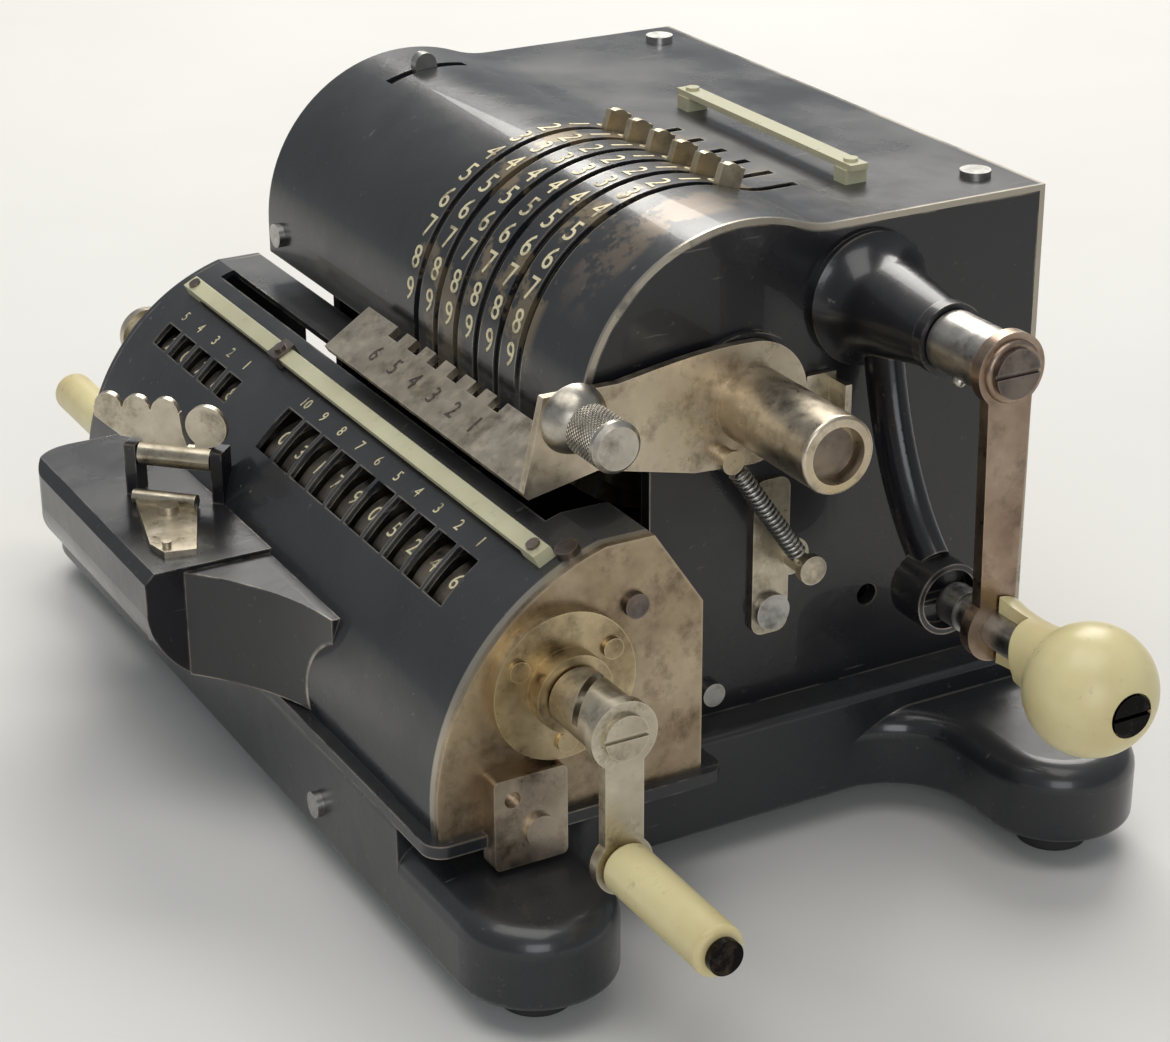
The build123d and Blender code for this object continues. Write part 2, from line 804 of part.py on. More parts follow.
with BuildPart() as crank_shaft:
    bar_x(gear_x - crank_shaft_tail, crank_screw_x, crank_y, crank_z, crank_shaft_r)
    extrude(gear_outline(crank_y, crank_z, crank_to_idler), amount=gear_width)
    bar_x(crank_screw_x, crank_screw_x + crank_screw_height, crank_y, crank_z, crank_screw_r)
    block(
        crank_screw_x + crank_screw_height / 2, crank_screw_x + crank_screw_height,
        crank_y - crank_screw_r, crank_y + crank_screw_r,
        crank_z - slot_cut / 2, crank_z + slot_cut / 2, mode=Mode.SUBTRACT,
    )
crank_shaft.part.label = "crank_shaft"
export_step(crank_shaft.part.moved(to_origin), "parts/crank_shaft.step")

with BuildPart() as idler_gear:
    extrude(gear_outline(idler_y, idler_z, idler_first_angle), amount=gear_width)
    bar_x(gear_x, gear_x + gear_width, idler_y, idler_z, idler_stud_r + running_fit, mode=Mode.SUBTRACT)
idler_gear.part.label = "idler_gear"
export_step(idler_gear.part.moved(to_origin), "parts/idler_gear.step")

collar_end_x = lever_places[0] - disc_reach - seat_gap
with BuildPart() as drum_shaft:
    bar_x(-housing_half_x, drum_shaft_end_x, 0, drum_z, drum_shaft_r)
    extrude(gear_outline(0, drum_z, drum_first_angle), amount=gear_width)
    bar_x(collar_end_x - drum_collar_length, collar_end_x, 0, drum_z, drum_collar_r)
drum_shaft.part.label = "drum_shaft"
export_step(drum_shaft.part.moved(to_origin), "parts/drum_shaft.step")

# ---------------------------------------------------------------- pinwheels
pin_slot_width = pin_width + 2 * disc_boss_gap
pin_depth = disc_thickness - 1
with BuildPart() as pinwheel_discs:
    for lever_x in lever_places:
        start_x = lever_x - disc_reach
        bar_x(start_x, start_x + disc_thickness, 0, drum_z, disc_r)
        bar_x(start_x, start_x + digit_pitch - disc_boss_gap, 0, drum_z, disc_boss_r)
        with Locations(side_plane(start_x + disc_thickness, 0, drum_z)):
            with PolarLocations(disc_r, pin_count, start_angle=pin_first_angle,
                                angular_range=pin_spacing * pin_count):
                Box(2 * (pin_length + seat_gap), pin_slot_width, 2 * pin_depth, mode=Mode.SUBTRACT)
    bar_x(
        lever_places[0] - digit_pitch, lever_places[-1] + digit_pitch, 0, drum_z,
        drum_shaft_r + snug_fit, mode=Mode.SUBTRACT,
    )
pinwheel_discs.part.label = "pinwheel_discs"
export_step(pinwheel_discs.part.moved(to_origin), "parts/pinwheel_discs.step")

pin_ring_r = disc_r - pin_length / 2 - disc_boss_gap
with BuildPart() as setting_pins:
    for lever_x in lever_places:
        pin_x = lever_x - disc_reach + disc_thickness - pin_depth / 2
        with Locations(side_plane(pin_x, 0, drum_z)):
            with PolarLocations(pin_ring_r, pin_count, start_angle=pin_first_angle,
                                angular_range=pin_spacing * pin_count):
                Box(pin_length, pin_width, pin_depth)
setting_pins.part.label = "setting_pins"
export_step(setting_pins.part.moved(to_origin), "parts/setting_pins.step")

for number, lever_x in enumerate(lever_places, start=1):
    with BuildPart() as setting_lever:
        with BuildSketch(side_plane(lever_x - lever_thickness / 2, 0, drum_z)):
            Circle(lever_ring_r)
            with Locations(Rotation(0, 0, 90 - lever_zero_angle)):
                with Locations(((lever_ring_r + lever_tip_r - lever_tab_width / 2) / 2, 0)):
                    Rectangle(lever_tip_r - lever_tab_width / 2 - lever_ring_r + 4, lever_tab_width)
                with Locations((lever_tip_r - lever_tab_width / 2, 0)):
                    Circle(lever_tab_width / 2)
            Circle(disc_boss_r + running_fit, mode=Mode.SUBTRACT)
        extrude(amount=lever_thickness)
    setting_lever.part.label = f"setting_lever_{number}"
    export_step(setting_lever.part.moved(to_origin), f"parts/setting_lever_{number}.step")

with BuildPart() as sign_lever:
    with BuildSketch(side_plane(sign_lever_x - sign_lever_width / 2, 0, drum_z)):
        Circle(2 * drum_shaft_r)
        with Locations(Rotation(0, 0, 90 + sign_lever_angle)):
            with Locations(((sign_lever_r - lever_tab_width / 2) / 2, 0)):
                Rectangle(sign_lever_r - lever_tab_width / 2, lever_tab_width)
            with Locations((sign_lever_r - lever_tab_width / 2, 0)):
                Circle(lever_tab_width / 2)
        Circle(drum_shaft_r + running_fit, mode=Mode.SUBTRACT)
    extrude(amount=sign_lever_width)
sign_lever.part.label = "sign_lever"
export_step(sign_lever.part.moved(to_origin), "parts/sign_lever.step")

# ---------------------------------------------------------------- crank
with BuildPart() as crank_arm:
    bar_x(crank_hub_start_x, crank_screw_x, crank_y, crank_z, crank_hub_r)
    fillet(crank_arm.edges().filter_by(GeomType.CIRCLE).group_by(Axis.X)[-1], radius=crank_hub_edge_r)
    with BuildSketch(side_plane(arm_inner_x, crank_y, crank_z)):
        with BuildLine():
            Polyline(
                (-crank_arm_top / 2, 0), (crank_arm_top / 2, 0),
                (crank_arm_low / 2, -crank_throw), (-crank_arm_low / 2, -crank_throw),
                close=True,
            )
        make_face()
        Circle(crank_hub_r + crank_hub_collar)
        with Locations((0, -crank_throw)):
            Circle(crank_eye_r)
    extrude(amount=crank_arm_thickness)
    with Locations((
        crank_hub_start_x + crank_bead_place, crank_y - crank_hub_r * 0.6, crank_z - crank_hub_r * 0.8,
    )):
        Sphere(crank_bead_r)
    bar_x(
        boss_end_x, crank_screw_x, crank_y, crank_z, crank_shaft_r + snug_fit,
        mode=Mode.SUBTRACT,
    )
    bar_x(arm_inner_x, arm_outer_x, crank_y, handle_z, stem_r + running_fit, mode=Mode.SUBTRACT)
crank_arm.part.label = "crank_arm"
export_step(crank_arm.part.moved(to_origin), "parts/crank_arm.step")

plug_end_x = ball_end_x + plug_proud
with BuildPart() as crank_stem:
    bar_x(stem_tip_x, arm_inner_x - pull_length - pull_gap, crank_y, handle_z, stem_r + stem_collar)
    fillet(crank_stem.edges().filter_by(GeomType.CIRCLE).group_by(Axis.X)[0], radius=stem_tip_edge_r)
    bar_x(stem_tip_x + stem_tip_edge_r, neck_root_x, crank_y, handle_z, stem_r)
    bar_x(neck_root_x, ball_end_x, crank_y, handle_z, spindle_r)
    bar_x(ball_end_x - plug_seat, plug_end_x, crank_y, handle_z, plug_r - seat_gap)
    block(
        plug_end_x - slot_cut, plug_end_x, crank_y - plug_r, crank_y + plug_r,
        handle_z - slot_cut / 2, handle_z + slot_cut / 2, mode=Mode.SUBTRACT,
    )
crank_stem.part.label = "crank_stem"
export_step(crank_stem.part.moved(to_origin), "parts/crank_stem.step")

break_r = ball_neck_r + 1.4
with BuildPart() as ball_handle:
    with BuildSketch(Plane((0, crank_y, handle_z), x_dir=(1, 0, 0), z_dir=(0, -1, 0))):
        with BuildLine():
            Line((ball_start_x, 0), (ball_start_x, ball_neck_r))
            Spline(
                (ball_start_x, ball_neck_r),
                (ball_start_x + ball_neck_r, ball_neck_r - 0.6),
                (ball_x - ball_r * 0.8, ball_r * 0.6),
            )
            ThreePointArc(
                (ball_x - ball_r * 0.8, ball_r * 0.6), (ball_x, ball_r), (ball_x + ball_r, 0)
            )
            Line((ball_x + ball_r, 0), (ball_start_x, 0))
        make_face()
    revolve(axis=Axis((0, crank_y, handle_z), (1, 0, 0)))
    bar_x(
        arm_outer_x, neck_root_x + running_fit, crank_y, handle_z, stem_r + running_fit,
        mode=Mode.SUBTRACT,
    )
    bar_x(arm_outer_x, ball_x + ball_r, crank_y, handle_z, spindle_r + running_fit, mode=Mode.SUBTRACT)
    bar_x(
        ball_end_x - plug_seat - running_fit, ball_x + ball_r, crank_y, handle_z, plug_r,
        mode=Mode.SUBTRACT,
    )
    with BuildSketch(Plane((0, crank_y, handle_z), x_dir=(1, 0, 0), z_dir=(0, -1, 0))):
        with BuildLine():
            Polyline(
                (ball_start_x - 1, -break_r), (ball_start_x + 10, -break_r), (neck_root_x - 1, -2),
                (ball_start_x + 11, 1.5), (ball_start_x + 8.6, 6), (ball_start_x + 4.6, break_r),
                (ball_start_x - 1, break_r), close=True,
            )
        make_face()
    extrude(amount=ball_r, mode=Mode.SUBTRACT)
ball_handle.part.label = "ball_handle"
export_step(ball_handle.part.moved(to_origin), "parts/ball_handle.step")

# ---------------------------------------------------------------- clearing comb
slope = radians(comb_slope)
tooth_y = -comb_tooth_r * cos(radians(comb_tooth_fall))
tooth_z = drum_z - comb_tooth_r * sin(radians(comb_tooth_fall))
plate_top_y = knob_y - comb_plate_corner
plate_top_z = knob_z + comb_plate_corner - 1
plate_peak_z = drum_z + comb_plate_hub_r - comb_plate_dip
plate_low_z = drum_z - comb_plate_hub_r + comb_plate_dip / 2


def comb_point(distance, height=0.0):
    y = tooth_y - distance * cos(slope) - height * sin(slope)
    z = tooth_z - distance * sin(slope) + height * cos(slope)
    return (y, z)


with BuildPart() as comb_bar:
    with BuildSketch(side_plane(comb_left_x)):
        with BuildLine():
            Polyline(
                comb_point(0), comb_point(comb_bar_width),
                comb_point(comb_bar_width, -comb_bar_thickness), comb_point(0, -comb_bar_thickness),
                close=True,
            )
        make_face()
    extrude(amount=comb_outer_x - comb_left_x)
    for lever_x in lever_places:
        block(
            lever_x - comb_notch_width / 2, lever_x + comb_notch_width / 2,
            -notch_r, tooth_y + comb_notch_depth,
            drum_z - comb_notch_height, drum_z, mode=Mode.SUBTRACT,
        )
    with BuildSketch(side_plane(comb_plate_x)):
        with BuildLine():
            top_front = (plate_top_y, plate_top_z)
            Line(top_front, (knob_y + 9.0, plate_peak_z - 1.3))
            Spline(
                (knob_y + 9.0, plate_peak_z - 1.3), (knob_y + 17.2, plate_peak_z),
                (-comb_plate_hub_r, drum_z + comb_plate_hub_r - 0.4), (0, drum_z + comb_plate_hub_r),
            )
            ThreePointArc(
                (0, drum_z + comb_plate_hub_r), (comb_plate_hub_r, drum_z), (0, drum_z - comb_plate_hub_r)
            )
            Polyline(
                (0, drum_z - comb_plate_hub_r), (-comb_plate_hub_r, plate_low_z + 0.1),
                (tooth_y + 4.9, plate_low_z + 4.9),
                comb_point(comb_bar_width, -comb_bar_thickness), comb_point(comb_bar_width), top_front,
            )
        make_face()
    extrude(amount=comb_plate)
    bar_x(comb_plate_x, comb_hub_end_x, 0, drum_z, comb_hub_r)
    fillet(comb_bar.edges().filter_by(GeomType.CIRCLE).group_by(Axis.X)[-1], radius=comb_hub_edge_r)
    bar_x(comb_outer_x, stud_end_x, stud_y, stud_z, stud_r)
    bar_x(spring_x + spring_half, stud_end_x, stud_y, stud_z, stud_r + stud_head)
    bar_x(comb_plate_x, comb_hub_end_x, 0, drum_z, drum_shaft_r + running_fit, mode=Mode.SUBTRACT)
    bar_x(
        comb_hub_end_x - comb_hub_pocket, comb_hub_end_x, 0, drum_z, comb_hub_pocket_r,
        mode=Mode.SUBTRACT,
    )
    bar_x(comb_plate_x, comb_outer_x, knob_y, knob_z, knob_pin_r + snug_fit, mode=Mode.SUBTRACT)
comb_bar.part.label = "comb_bar"
export_step(comb_bar.part.moved(to_origin), "parts/comb_bar.step")

neck_end_x = comb_outer_x + knob_neck_end
knob_end_x = comb_outer_x + knob_length
with BuildPart() as comb_knob:
    bar_x(comb_plate_x, comb_outer_x, knob_y, knob_z, knob_pin_r)
    with BuildSketch(Plane((0, knob_y, knob_z), x_dir=(1, 0, 0), z_dir=(0, -1, 0))):
        with BuildLine():
            Line((comb_outer_x, 0), (comb_outer_x, knob_dome_r))
            ThreePointArc(
                (comb_outer_x, knob_dome_r), (comb_outer_x + 0.6 * knob_dome_length, knob_dome_r * 0.82),
                (comb_outer_x + knob_dome_length, knob_neck_r),
            )
            Polyline(
                (comb_outer_x + knob_dome_length, knob_neck_r), (neck_end_x, knob_neck_r),
                (neck_end_x, knob_r), (knob_end_x - knob_edge, knob_r),
                (knob_end_x, knob_r - knob_edge), (knob_end_x, 0),
                (comb_outer_x, 0),
            )
        make_face()
    revolve(axis=Axis((0, knob_y, knob_z), (1, 0, 0)))
comb_knob.part.label = "comb_knob"
export_step(comb_knob.part.moved(to_origin), "parts/comb_knob.step")

with BuildPart() as comb_strap:
    with BuildSketch(side_plane(housing_half_x)):
        with Locations((strap_screw_y, strap_low_z + strap_length / 2)):
            RectangleRounded(strap_width, strap_length, strap_edge_r)
        with Locations((post_y, post_z)):
            Circle(post_foot_r)
        with Locations(((post_y + strap_screw_y) / 2, post_z)):
            Rectangle(post_y - strap_screw_y, 2 * (post_foot_r - post_head))
        with Locations((strap_screw_y, strap_screw_z)):
            Circle(screw_shank_r + running_fit, mode=Mode.SUBTRACT)
    extrude(amount=strap_thickness)
    bar_x(housing_half_x, post_end_x, post_y, post_z, post_r)
    bar_x(spring_x + spring_half, post_end_x, post_y, post_z, post_r + post_head)
comb_strap.part.label = "comb_strap"
export_step(comb_strap.part.moved(to_origin), "parts/comb_strap.step")

catch_front_y = hub_ring_r + catch_gap
catch_back_y = catch_front_y + catch_width
with BuildPart() as hub_catch:
    block(
        housing_half_x, housing_half_x + catch_sheet, catch_front_y, catch_back_y,
        drum_z - catch_drop, drum_z + catch_rise,
    )
    block(
        housing_half_x, housing_half_x + catch_lip_reach, catch_back_y - catch_lip, catch_back_y,
        drum_z - catch_drop + catch_rise, drum_z + catch_rise / 2,
    )
hub_catch.part.label = "hub_catch"
export_step(hub_catch.part.moved(to_origin), "parts/hub_catch.step")

# ---------------------------------------------------------------- comb spring
spring_start = Vector(spring_x, stud_y, stud_z)
spring_finish = Vector(spring_x, post_y, post_z)
spring_way = (spring_finish - spring_start).normalized()
spring_side = spring_way.cross(Vector(1, 0, 0))
wire_r = spring_wire / 2
coil_start = spring_start + spring_way * (stud_r + stud_head + spring_lead + wire_r)
coil_finish = spring_finish - spring_way * (post_r + post_head + seat_gap + wire_r)
coil_length = (coil_finish - coil_start).length
turn_pitch = coil_length / spring_turns


def coil_point(turn):
    angle = 2 * pi * turn
    radial = spring_side * cos(angle) + Vector(1, 0, 0) * sin(angle)
    return coil_start + spring_way * (turn_pitch * turn) + radial * spring_r


def coil_tangent(turn):
    angle = 2 * pi * turn
    turning = Vector(1, 0, 0) * cos(angle) - spring_side * sin(angle)
    return (spring_way * turn_pitch + turning * (2 * pi * spring_r)).normalized()


coil_steps = [step / 4 for step in range(4 * spring_turns + 1)]
with BuildPart() as comb_spring:
    with BuildLine() as spring_line:
        first_lead = coil_point(0) - coil_tangent(0) * spring_wire
        last_lead = coil_point(spring_turns) + coil_tangent(spring_turns) * spring_wire
        Line(first_lead, coil_point(0))
        for start, finish in zip(coil_steps[:-1], coil_steps[1:]):
            near = coil_point(start)
            far = coil_point(finish)
            lead_in = coil_tangent(start)
            lead_out = coil_tangent(finish)
            chord = far - near
            tangents = lead_in + lead_out
            cross_term = chord.dot(tangents)
            stretch = 2 * (1 - lead_in.dot(lead_out))
            reach = (-cross_term + sqrt(cross_term**2 + stretch * chord.dot(chord))) / stretch
            joint = (near + far + (lead_in - lead_out) * reach) * 0.5
            TangentArc(near, joint, tangent=lead_in)
            TangentArc(joint, far, tangent=spring_line.edges()[-1] % 1)
        Line(coil_point(spring_turns), last_lead)
    with BuildSketch(Plane(origin=first_lead, z_dir=coil_tangent(0))):
        Circle(wire_r)
    sweep()
comb_spring.part.label = "comb_spring"
export_step(comb_spring.part.moved(to_origin), "parts/comb_spring.step")

coil_samples = [coil_point(step / 48) for step in range(48 * spring_turns + 1)]
least_gap = min(
    (coil_samples[i] - coil_samples[j]).length
    for i in range(len(coil_samples))
    for j in range(i + 24, min(i + 120, len(coil_samples)))
) - spring_wire
print(f"comb spring least gap to itself {least_gap:.3f} mm")

# ---------------------------------------------------------------- carriage
def on_cover(x, angle, radius):
    return Location((x, carriage_axis_y, carriage_axis_z), (angle, 0, 0)) * Pos(0, 0, radius)


def carriage_section(inset, x):
    radius = carriage_r - inset
    low = bed_top_z - inset
    top = carriage_top_z - inset
    front_y = carriage_axis_y - sqrt(radius**2 - (low - carriage_axis_z) ** 2)
    arc_end_y = carriage_axis_y - sqrt(radius**2 - (top - carriage_axis_z) ** 2)
    mid_y = carriage_axis_y - radius * sin(radians(55))
    mid_z = carriage_axis_z + radius * cos(radians(55))
    with BuildSketch(side_plane(x)) as section:
        with BuildLine():
            ThreePointArc((front_y, low), (mid_y, mid_z), (arc_end_y, top))
            Polyline(
                (arc_end_y, top), (carriage_top_back_y + inset, top),
                (carriage_back_y + inset, carriage_back_z), (carriage_back_y + inset, low),
                (front_y, low),
            )
        make_face()
    return section.sketch


cover_left_x = carriage_left_x + carriage_end_plate
cover_right_x = carriage_right_x - carriage_end_plate
with BuildPart() as carriage_cover:
    extrude(carriage_section(0, cover_left_x), amount=cover_right_x - cover_left_x)
    extrude(
        carriage_section(carriage_sheet, cover_left_x), amount=cover_right_x - cover_left_x,
        mode=Mode.SUBTRACT,
    )
    block(
        cover_left_x, cover_right_x, carriage_top_back_y, carriage_back_y + carriage_sheet,
        bed_low_z, carriage_top_z, mode=Mode.SUBTRACT,
    )
    block(
        sweep_left_x, sweep_right_x, cover_slot_y + cover_slot_width, carriage_back_y,
        carriage_top_z - sweep_depth, carriage_top_z, mode=Mode.SUBTRACT,
    )
    block(
        cover_slot_left_x, sweep_right_x, cover_slot_y, cover_slot_y + cover_slot_width,
        carriage_top_z - sweep_depth, carriage_top_z, mode=Mode.SUBTRACT,
    )
    with Locations(*[on_cover(x, result_window_angle, carriage_r) for x in result_places]):
        Box(result_window_width, result_window_length, 2 * window_depth, mode=Mode.SUBTRACT)
    with Locations(*[on_cover(x, counter_window_angle, carriage_r) for x in counter_places]):
        Box(counter_window_width, counter_window_length, 2 * window_depth, mode=Mode.SUBTRACT)
carriage_cover.part.label = "carriage_cover"
export_step(carriage_cover.part.moved(to_origin), "parts/carriage_cover.step")

for plate_name, start_x in (
    ("carriage_right_plate", cover_right_x),
    ("carriage_left_plate", carriage_left_x),
):
    with BuildPart() as end_plate:
        extrude(carriage_section(0, start_x), amount=carriage_end_plate)
        bar_x(
            start_x, start_x + carriage_end_plate, register_y, register_z,
            register_shaft_r + snug_fit, mode=Mode.SUBTRACT,
        )
    end_plate.part.label = plate_name
    export_step(end_plate.part.moved(to_origin), f"parts/{plate_name}.step")

bed_left_x = carriage_left_x - bed_overhang
bed_right_x = carriage_right_x + bed_overhang
with BuildPart() as carriage_bed:
    block(bed_left_x, bed_right_x, bed_front_y, bed_back_y, bed_low_z, bed_top_z)
    fillet(carriage_bed.edges().filter_by(Axis.Z), radius=bed_corner_r)
    block(
        carriage_right_x, bed_right_x, stop_front_y - snug_fit, stop_back_y + snug_fit,
        bed_low_z, bed_top_z, mode=Mode.SUBTRACT,
    )
carriage_bed.part.label = "carriage_bed"
export_step(carriage_bed.part.moved(to_origin), "parts/carriage_bed.step")

rail_low_r = carriage_r + rail_stand
rail_top_r = rail_low_r + rail_thickness
rail_mid_x = (rail_left_x + rail_right_x) / 2
rail_ends = (rail_left_x + rail_foot / 2, rail_right_x - rail_foot / 2)
with BuildPart() as carriage_point_rail:
    with Locations(on_cover(rail_mid_x, rail_angle, (rail_low_r + rail_top_r) / 2)):
        Box(rail_right_x - rail_left_x, rail_width, rail_thickness)
    with Locations(*[on_cover(x, rail_angle, carriage_r + rail_stand / 2) for x in rail_ends]):
        Box(rail_foot, rail_width, rail_stand)
    fillet(carriage_point_rail.edges().filter_by(Axis.X).group_by(Axis.Z)[-1], radius=rail_edge_r)
carriage_point_rail.part.label = "carriage_point_rail"
export_step(carriage_point_rail.part.moved(to_origin), "parts/carriage_point_rail.step")

with BuildPart() as decimal_pointer:
    with Locations(on_cover(pointer_x, rail_angle, (rail_low_r + rail_top_r) / 2)):
        Box(pointer_length, rail_width + 2 * pointer_wall, rail_thickness + 2 * pointer_wall)
        Box(
            pointer_length, rail_width + 2 * running_fit, rail_thickness + 2 * running_fit,
            mode=Mode.SUBTRACT,
        )
    with Locations(on_cover(pointer_x, rail_angle, rail_top_r + pointer_wall)):
        Cylinder(
            pointer_rivet_r, pointer_rivet_height, align=(Align.CENTER, Align.CENTER, Align.MIN)
        )
decimal_pointer.part.label = "decimal_pointer"
export_step(decimal_pointer.part.moved(to_origin), "parts/decimal_pointer.step")

# ---------------------------------------------------------------- registers
sleeve_stand = flange_thickness + brass_ring_length + seat_gap
shaft_reach = sleeve_stand + clear_sleeve_length - shaft_recess
left_of_counter = counter_places[0] - wheel_width / 2 - seat_gap
right_of_counter = counter_places[-1] + wheel_width / 2 + wheel_gear_width + seat_gap
left_of_result = result_places[0] - wheel_width / 2 - seat_gap
right_of_result = result_places[-1] + wheel_width / 2 + wheel_gear_width + seat_gap
with BuildPart() as register_shaft:
    bar_x(
        carriage_left_x - shaft_reach, carriage_right_x + shaft_reach, register_y, register_z,
        register_shaft_r,
    )
    bar_x(cover_left_x + seat_gap, left_of_counter, register_y, register_z, spacer_r)
    bar_x(right_of_counter, left_of_result, register_y, register_z, spacer_r)
    bar_x(right_of_result, cover_right_x - seat_gap, register_y, register_z, spacer_r)
register_shaft.part.label = "register_shaft"
export_step(register_shaft.part.moved(to_origin), "parts/register_shaft.step")

for group, places in (("result_wheel", result_places), ("counter_wheel", counter_places)):
    for number, wheel_x in enumerate(places, start=1):
        rim_end_x = wheel_x + wheel_width / 2
        with BuildPart() as number_wheel:
            bar_x(wheel_x - wheel_width / 2, rim_end_x, register_y, register_z, wheel_r)
            bar_x(rim_end_x, rim_end_x + wheel_gear_width, register_y, register_z, wheel_gear_r)
            bar_x(
                wheel_x - wheel_width / 2, rim_end_x + wheel_gear_width, register_y, register_z,
                register_shaft_r + running_fit, mode=Mode.SUBTRACT,
            )
        number_wheel.part.label = f"{group}_{number}"
        export_step(number_wheel.part.moved(to_origin), f"parts/{group}_{number}.step")

# ---------------------------------------------------------------- clearing cranks
flange_screw_turns = (150, 270, 30)
with BuildPart() as clearing_bearings:
    for side, face_x in ((1, carriage_right_x), (-1, carriage_left_x)):
        flange_end = face_x + side * flange_thickness
        ring_end = flange_end + side * brass_ring_length
        bar_x(min(face_x, flange_end), max(face_x, flange_end), register_y, register_z, flange_r)
        bar_x(min(flange_end, ring_end), max(flange_end, ring_end), register_y, register_z, brass_ring_r)
        for turn in flange_screw_turns:
            screw_y = register_y + flange_screw_ring * cos(radians(turn))
            screw_z = register_z + flange_screw_ring * sin(radians(turn))
            head_end = flange_end + side * flange_screw_height
            bar_x(min(flange_end, head_end), max(flange_end, head_end), screw_y, screw_z, flange_screw_r)
        bar_x(
            min(face_x, ring_end), max(face_x, ring_end), register_y, register_z,
            register_shaft_r + snug_fit, mode=Mode.SUBTRACT,
        )
clearing_bearings.part.label = "clearing_bearings"
export_step(clearing_bearings.part.moved(to_origin), "parts/clearing_bearings.step")


def clearing_crank(side, face_x, arm_angle):
    sleeve_x = face_x + side * sleeve_stand
    arm_x = sleeve_x + side * clear_sleeve_length
    outer_x = arm_x + side * clear_arm_thickness
    pin_y = register_y - clear_throw * sin(radians(arm_angle))
    pin_z = register_z - clear_throw * cos(radians(arm_angle))
    low_arm_x = min(arm_x, outer_x)
    with BuildPart() as crank:
        bar_x(min(sleeve_x, outer_x), max(sleeve_x, outer_x), register_y, register_z, clear_sleeve_r)
        fillet(crank.edges().filter_by(GeomType.CIRCLE), radius=clear_sleeve_edge_r)
        with BuildSketch(side_plane(low_arm_x, register_y, register_z)):
            Circle(clear_eye_r)
            with Locations(Rotation(0, 0, -90 - arm_angle)):
                with Locations((clear_throw / 2, 0)):
                    Rectangle(clear_throw, clear_arm_width)
                with Locations((clear_throw, 0)):
                    Circle(clear_low_eye_r)
        extrude(amount=clear_arm_thickness)
        pin_seat = outer_x + side * (clear_handle_length + 2 * seat_gap)
        pin_end = pin_seat + side * clear_pin_head
        bar_x(min(outer_x, pin_end), max(outer_x, pin_end), pin_y, pin_z, clear_pin_r)
        bar_x(min(pin_seat, pin_end), max(pin_seat, pin_end), pin_y, pin_z, clear_pin_head_r)
        head_x = outer_x + side * clear_screw_height
        cut_x = head_x - side * clear_screw_height / 2
        bar_x(min(outer_x, head_x), max(outer_x, head_x), register_y, register_z, clear_screw_r)
        block(
            min(head_x, cut_x), max(head_x, cut_x),
            register_y - clear_screw_r, register_y + clear_screw_r,
            register_z - slot_cut / 2, register_z + slot_cut / 2, mode=Mode.SUBTRACT,
        )
        bar_x(
            min(sleeve_x, arm_x), max(sleeve_x, arm_x), register_y, register_z,
            register_shaft_r + running_fit, mode=Mode.SUBTRACT,
        )
        slot_x = sleeve_x + side * clear_sleeve_slot_place
        with Locations(Location((slot_x, register_y, register_z), (0, 0, clear_sleeve_slot_turn))):
            Box(
                clear_sleeve_slot, 3 * clear_sleeve_r, 2 * clear_sleeve_r,
                align=(Align.CENTER, Align.CENTER, Align.MIN), mode=Mode.SUBTRACT,
            )
    return crank.part, outer_x, pin_y, pin_z


def clearing_handle(side, outer_x, pin_y, pin_z):
    near_x = outer_x + side * seat_gap
    far_x = near_x + side * clear_handle_length
    with BuildPart() as handle:
        bar_x(min(near_x, far_x), max(near_x, far_x), pin_y, pin_z, clear_handle_r)
        fillet(handle.edges().filter_by(GeomType.CIRCLE), radius=clear_handle_edge_r)
        bar_x(
            min(near_x, far_x), max(near_x, far_x), pin_y, pin_z, clear_pin_r + running_fit,
            mode=Mode.SUBTRACT,
        )
    return handle.part


for crank_name, handle_name, side, face_x, arm_angle in (
    ("result_clear_crank", "result_clear_handle", 1, carriage_right_x, 0),
    ("counter_clear_crank", "counter_clear_handle", -1, carriage_left_x, counter_arm_angle),
):
    crank_part, outer_x, pin_y, pin_z = clearing_crank(side, face_x, arm_angle)
    crank_part.label = crank_name
    export_step(crank_part.moved(to_origin), f"parts/{crank_name}.step")
    handle_part = clearing_handle(side, outer_x, pin_y, pin_z)
    handle_part.label = handle_name
    export_step(handle_part.moved(to_origin), f"parts/{handle_name}.step")

# ---------------------------------------------------------------- stop block
with BuildPart() as stop_block:
    block(carriage_right_x, stop_end_x, stop_front_y, stop_back_y, stop_low_z, stop_top_z)
    fillet(stop_block.edges().filter_by(Axis.X), radius=stop_edge_r)
    bar_x(
        stop_end_x, stop_end_x + stop_screw_height, stop_mid_y + stop_screw_back,
        stop_low_z + stop_screw_rise, stop_screw_r,
    )
    bar_x(
        stop_end_x - stop_hole_depth, stop_end_x, stop_mid_y - stop_hole_front,
        stop_top_z - stop_hole_drop, stop_hole_r, mode=Mode.SUBTRACT,
    )
stop_block.part.label = "stop_block"
export_step(stop_block.part.moved(to_origin), "parts/stop_block.step")

corner_screw_x = carriage_right_x - corner_screw_inset
end_screw_y = carriage_axis_y - end_screw_front
end_screw_z = carriage_top_z - end_screw_drop
with BuildPart() as carriage_screws:
    for x in rail_ends:
        with Locations(on_cover(x, rail_angle, rail_top_r + point_screw_height / 2)):
            Cylinder(pointer_rivet_r, point_screw_height)
    with Locations(on_cover(corner_screw_x, corner_screw_angle, carriage_r + screw_head_height / 2)):
        Cylinder(corner_screw_r, screw_head_height)
    bar_x(
        carriage_right_x, carriage_right_x + end_screw_height, end_screw_y, end_screw_z, end_screw_r
    )
    bar_x(carriage_left_x - end_screw_height, carriage_left_x, end_screw_y, end_screw_z, end_screw_r)
carriage_screws.part.label = "carriage_screws"
export_step(carriage_screws.part.moved(to_origin), "parts/carriage_screws.step")

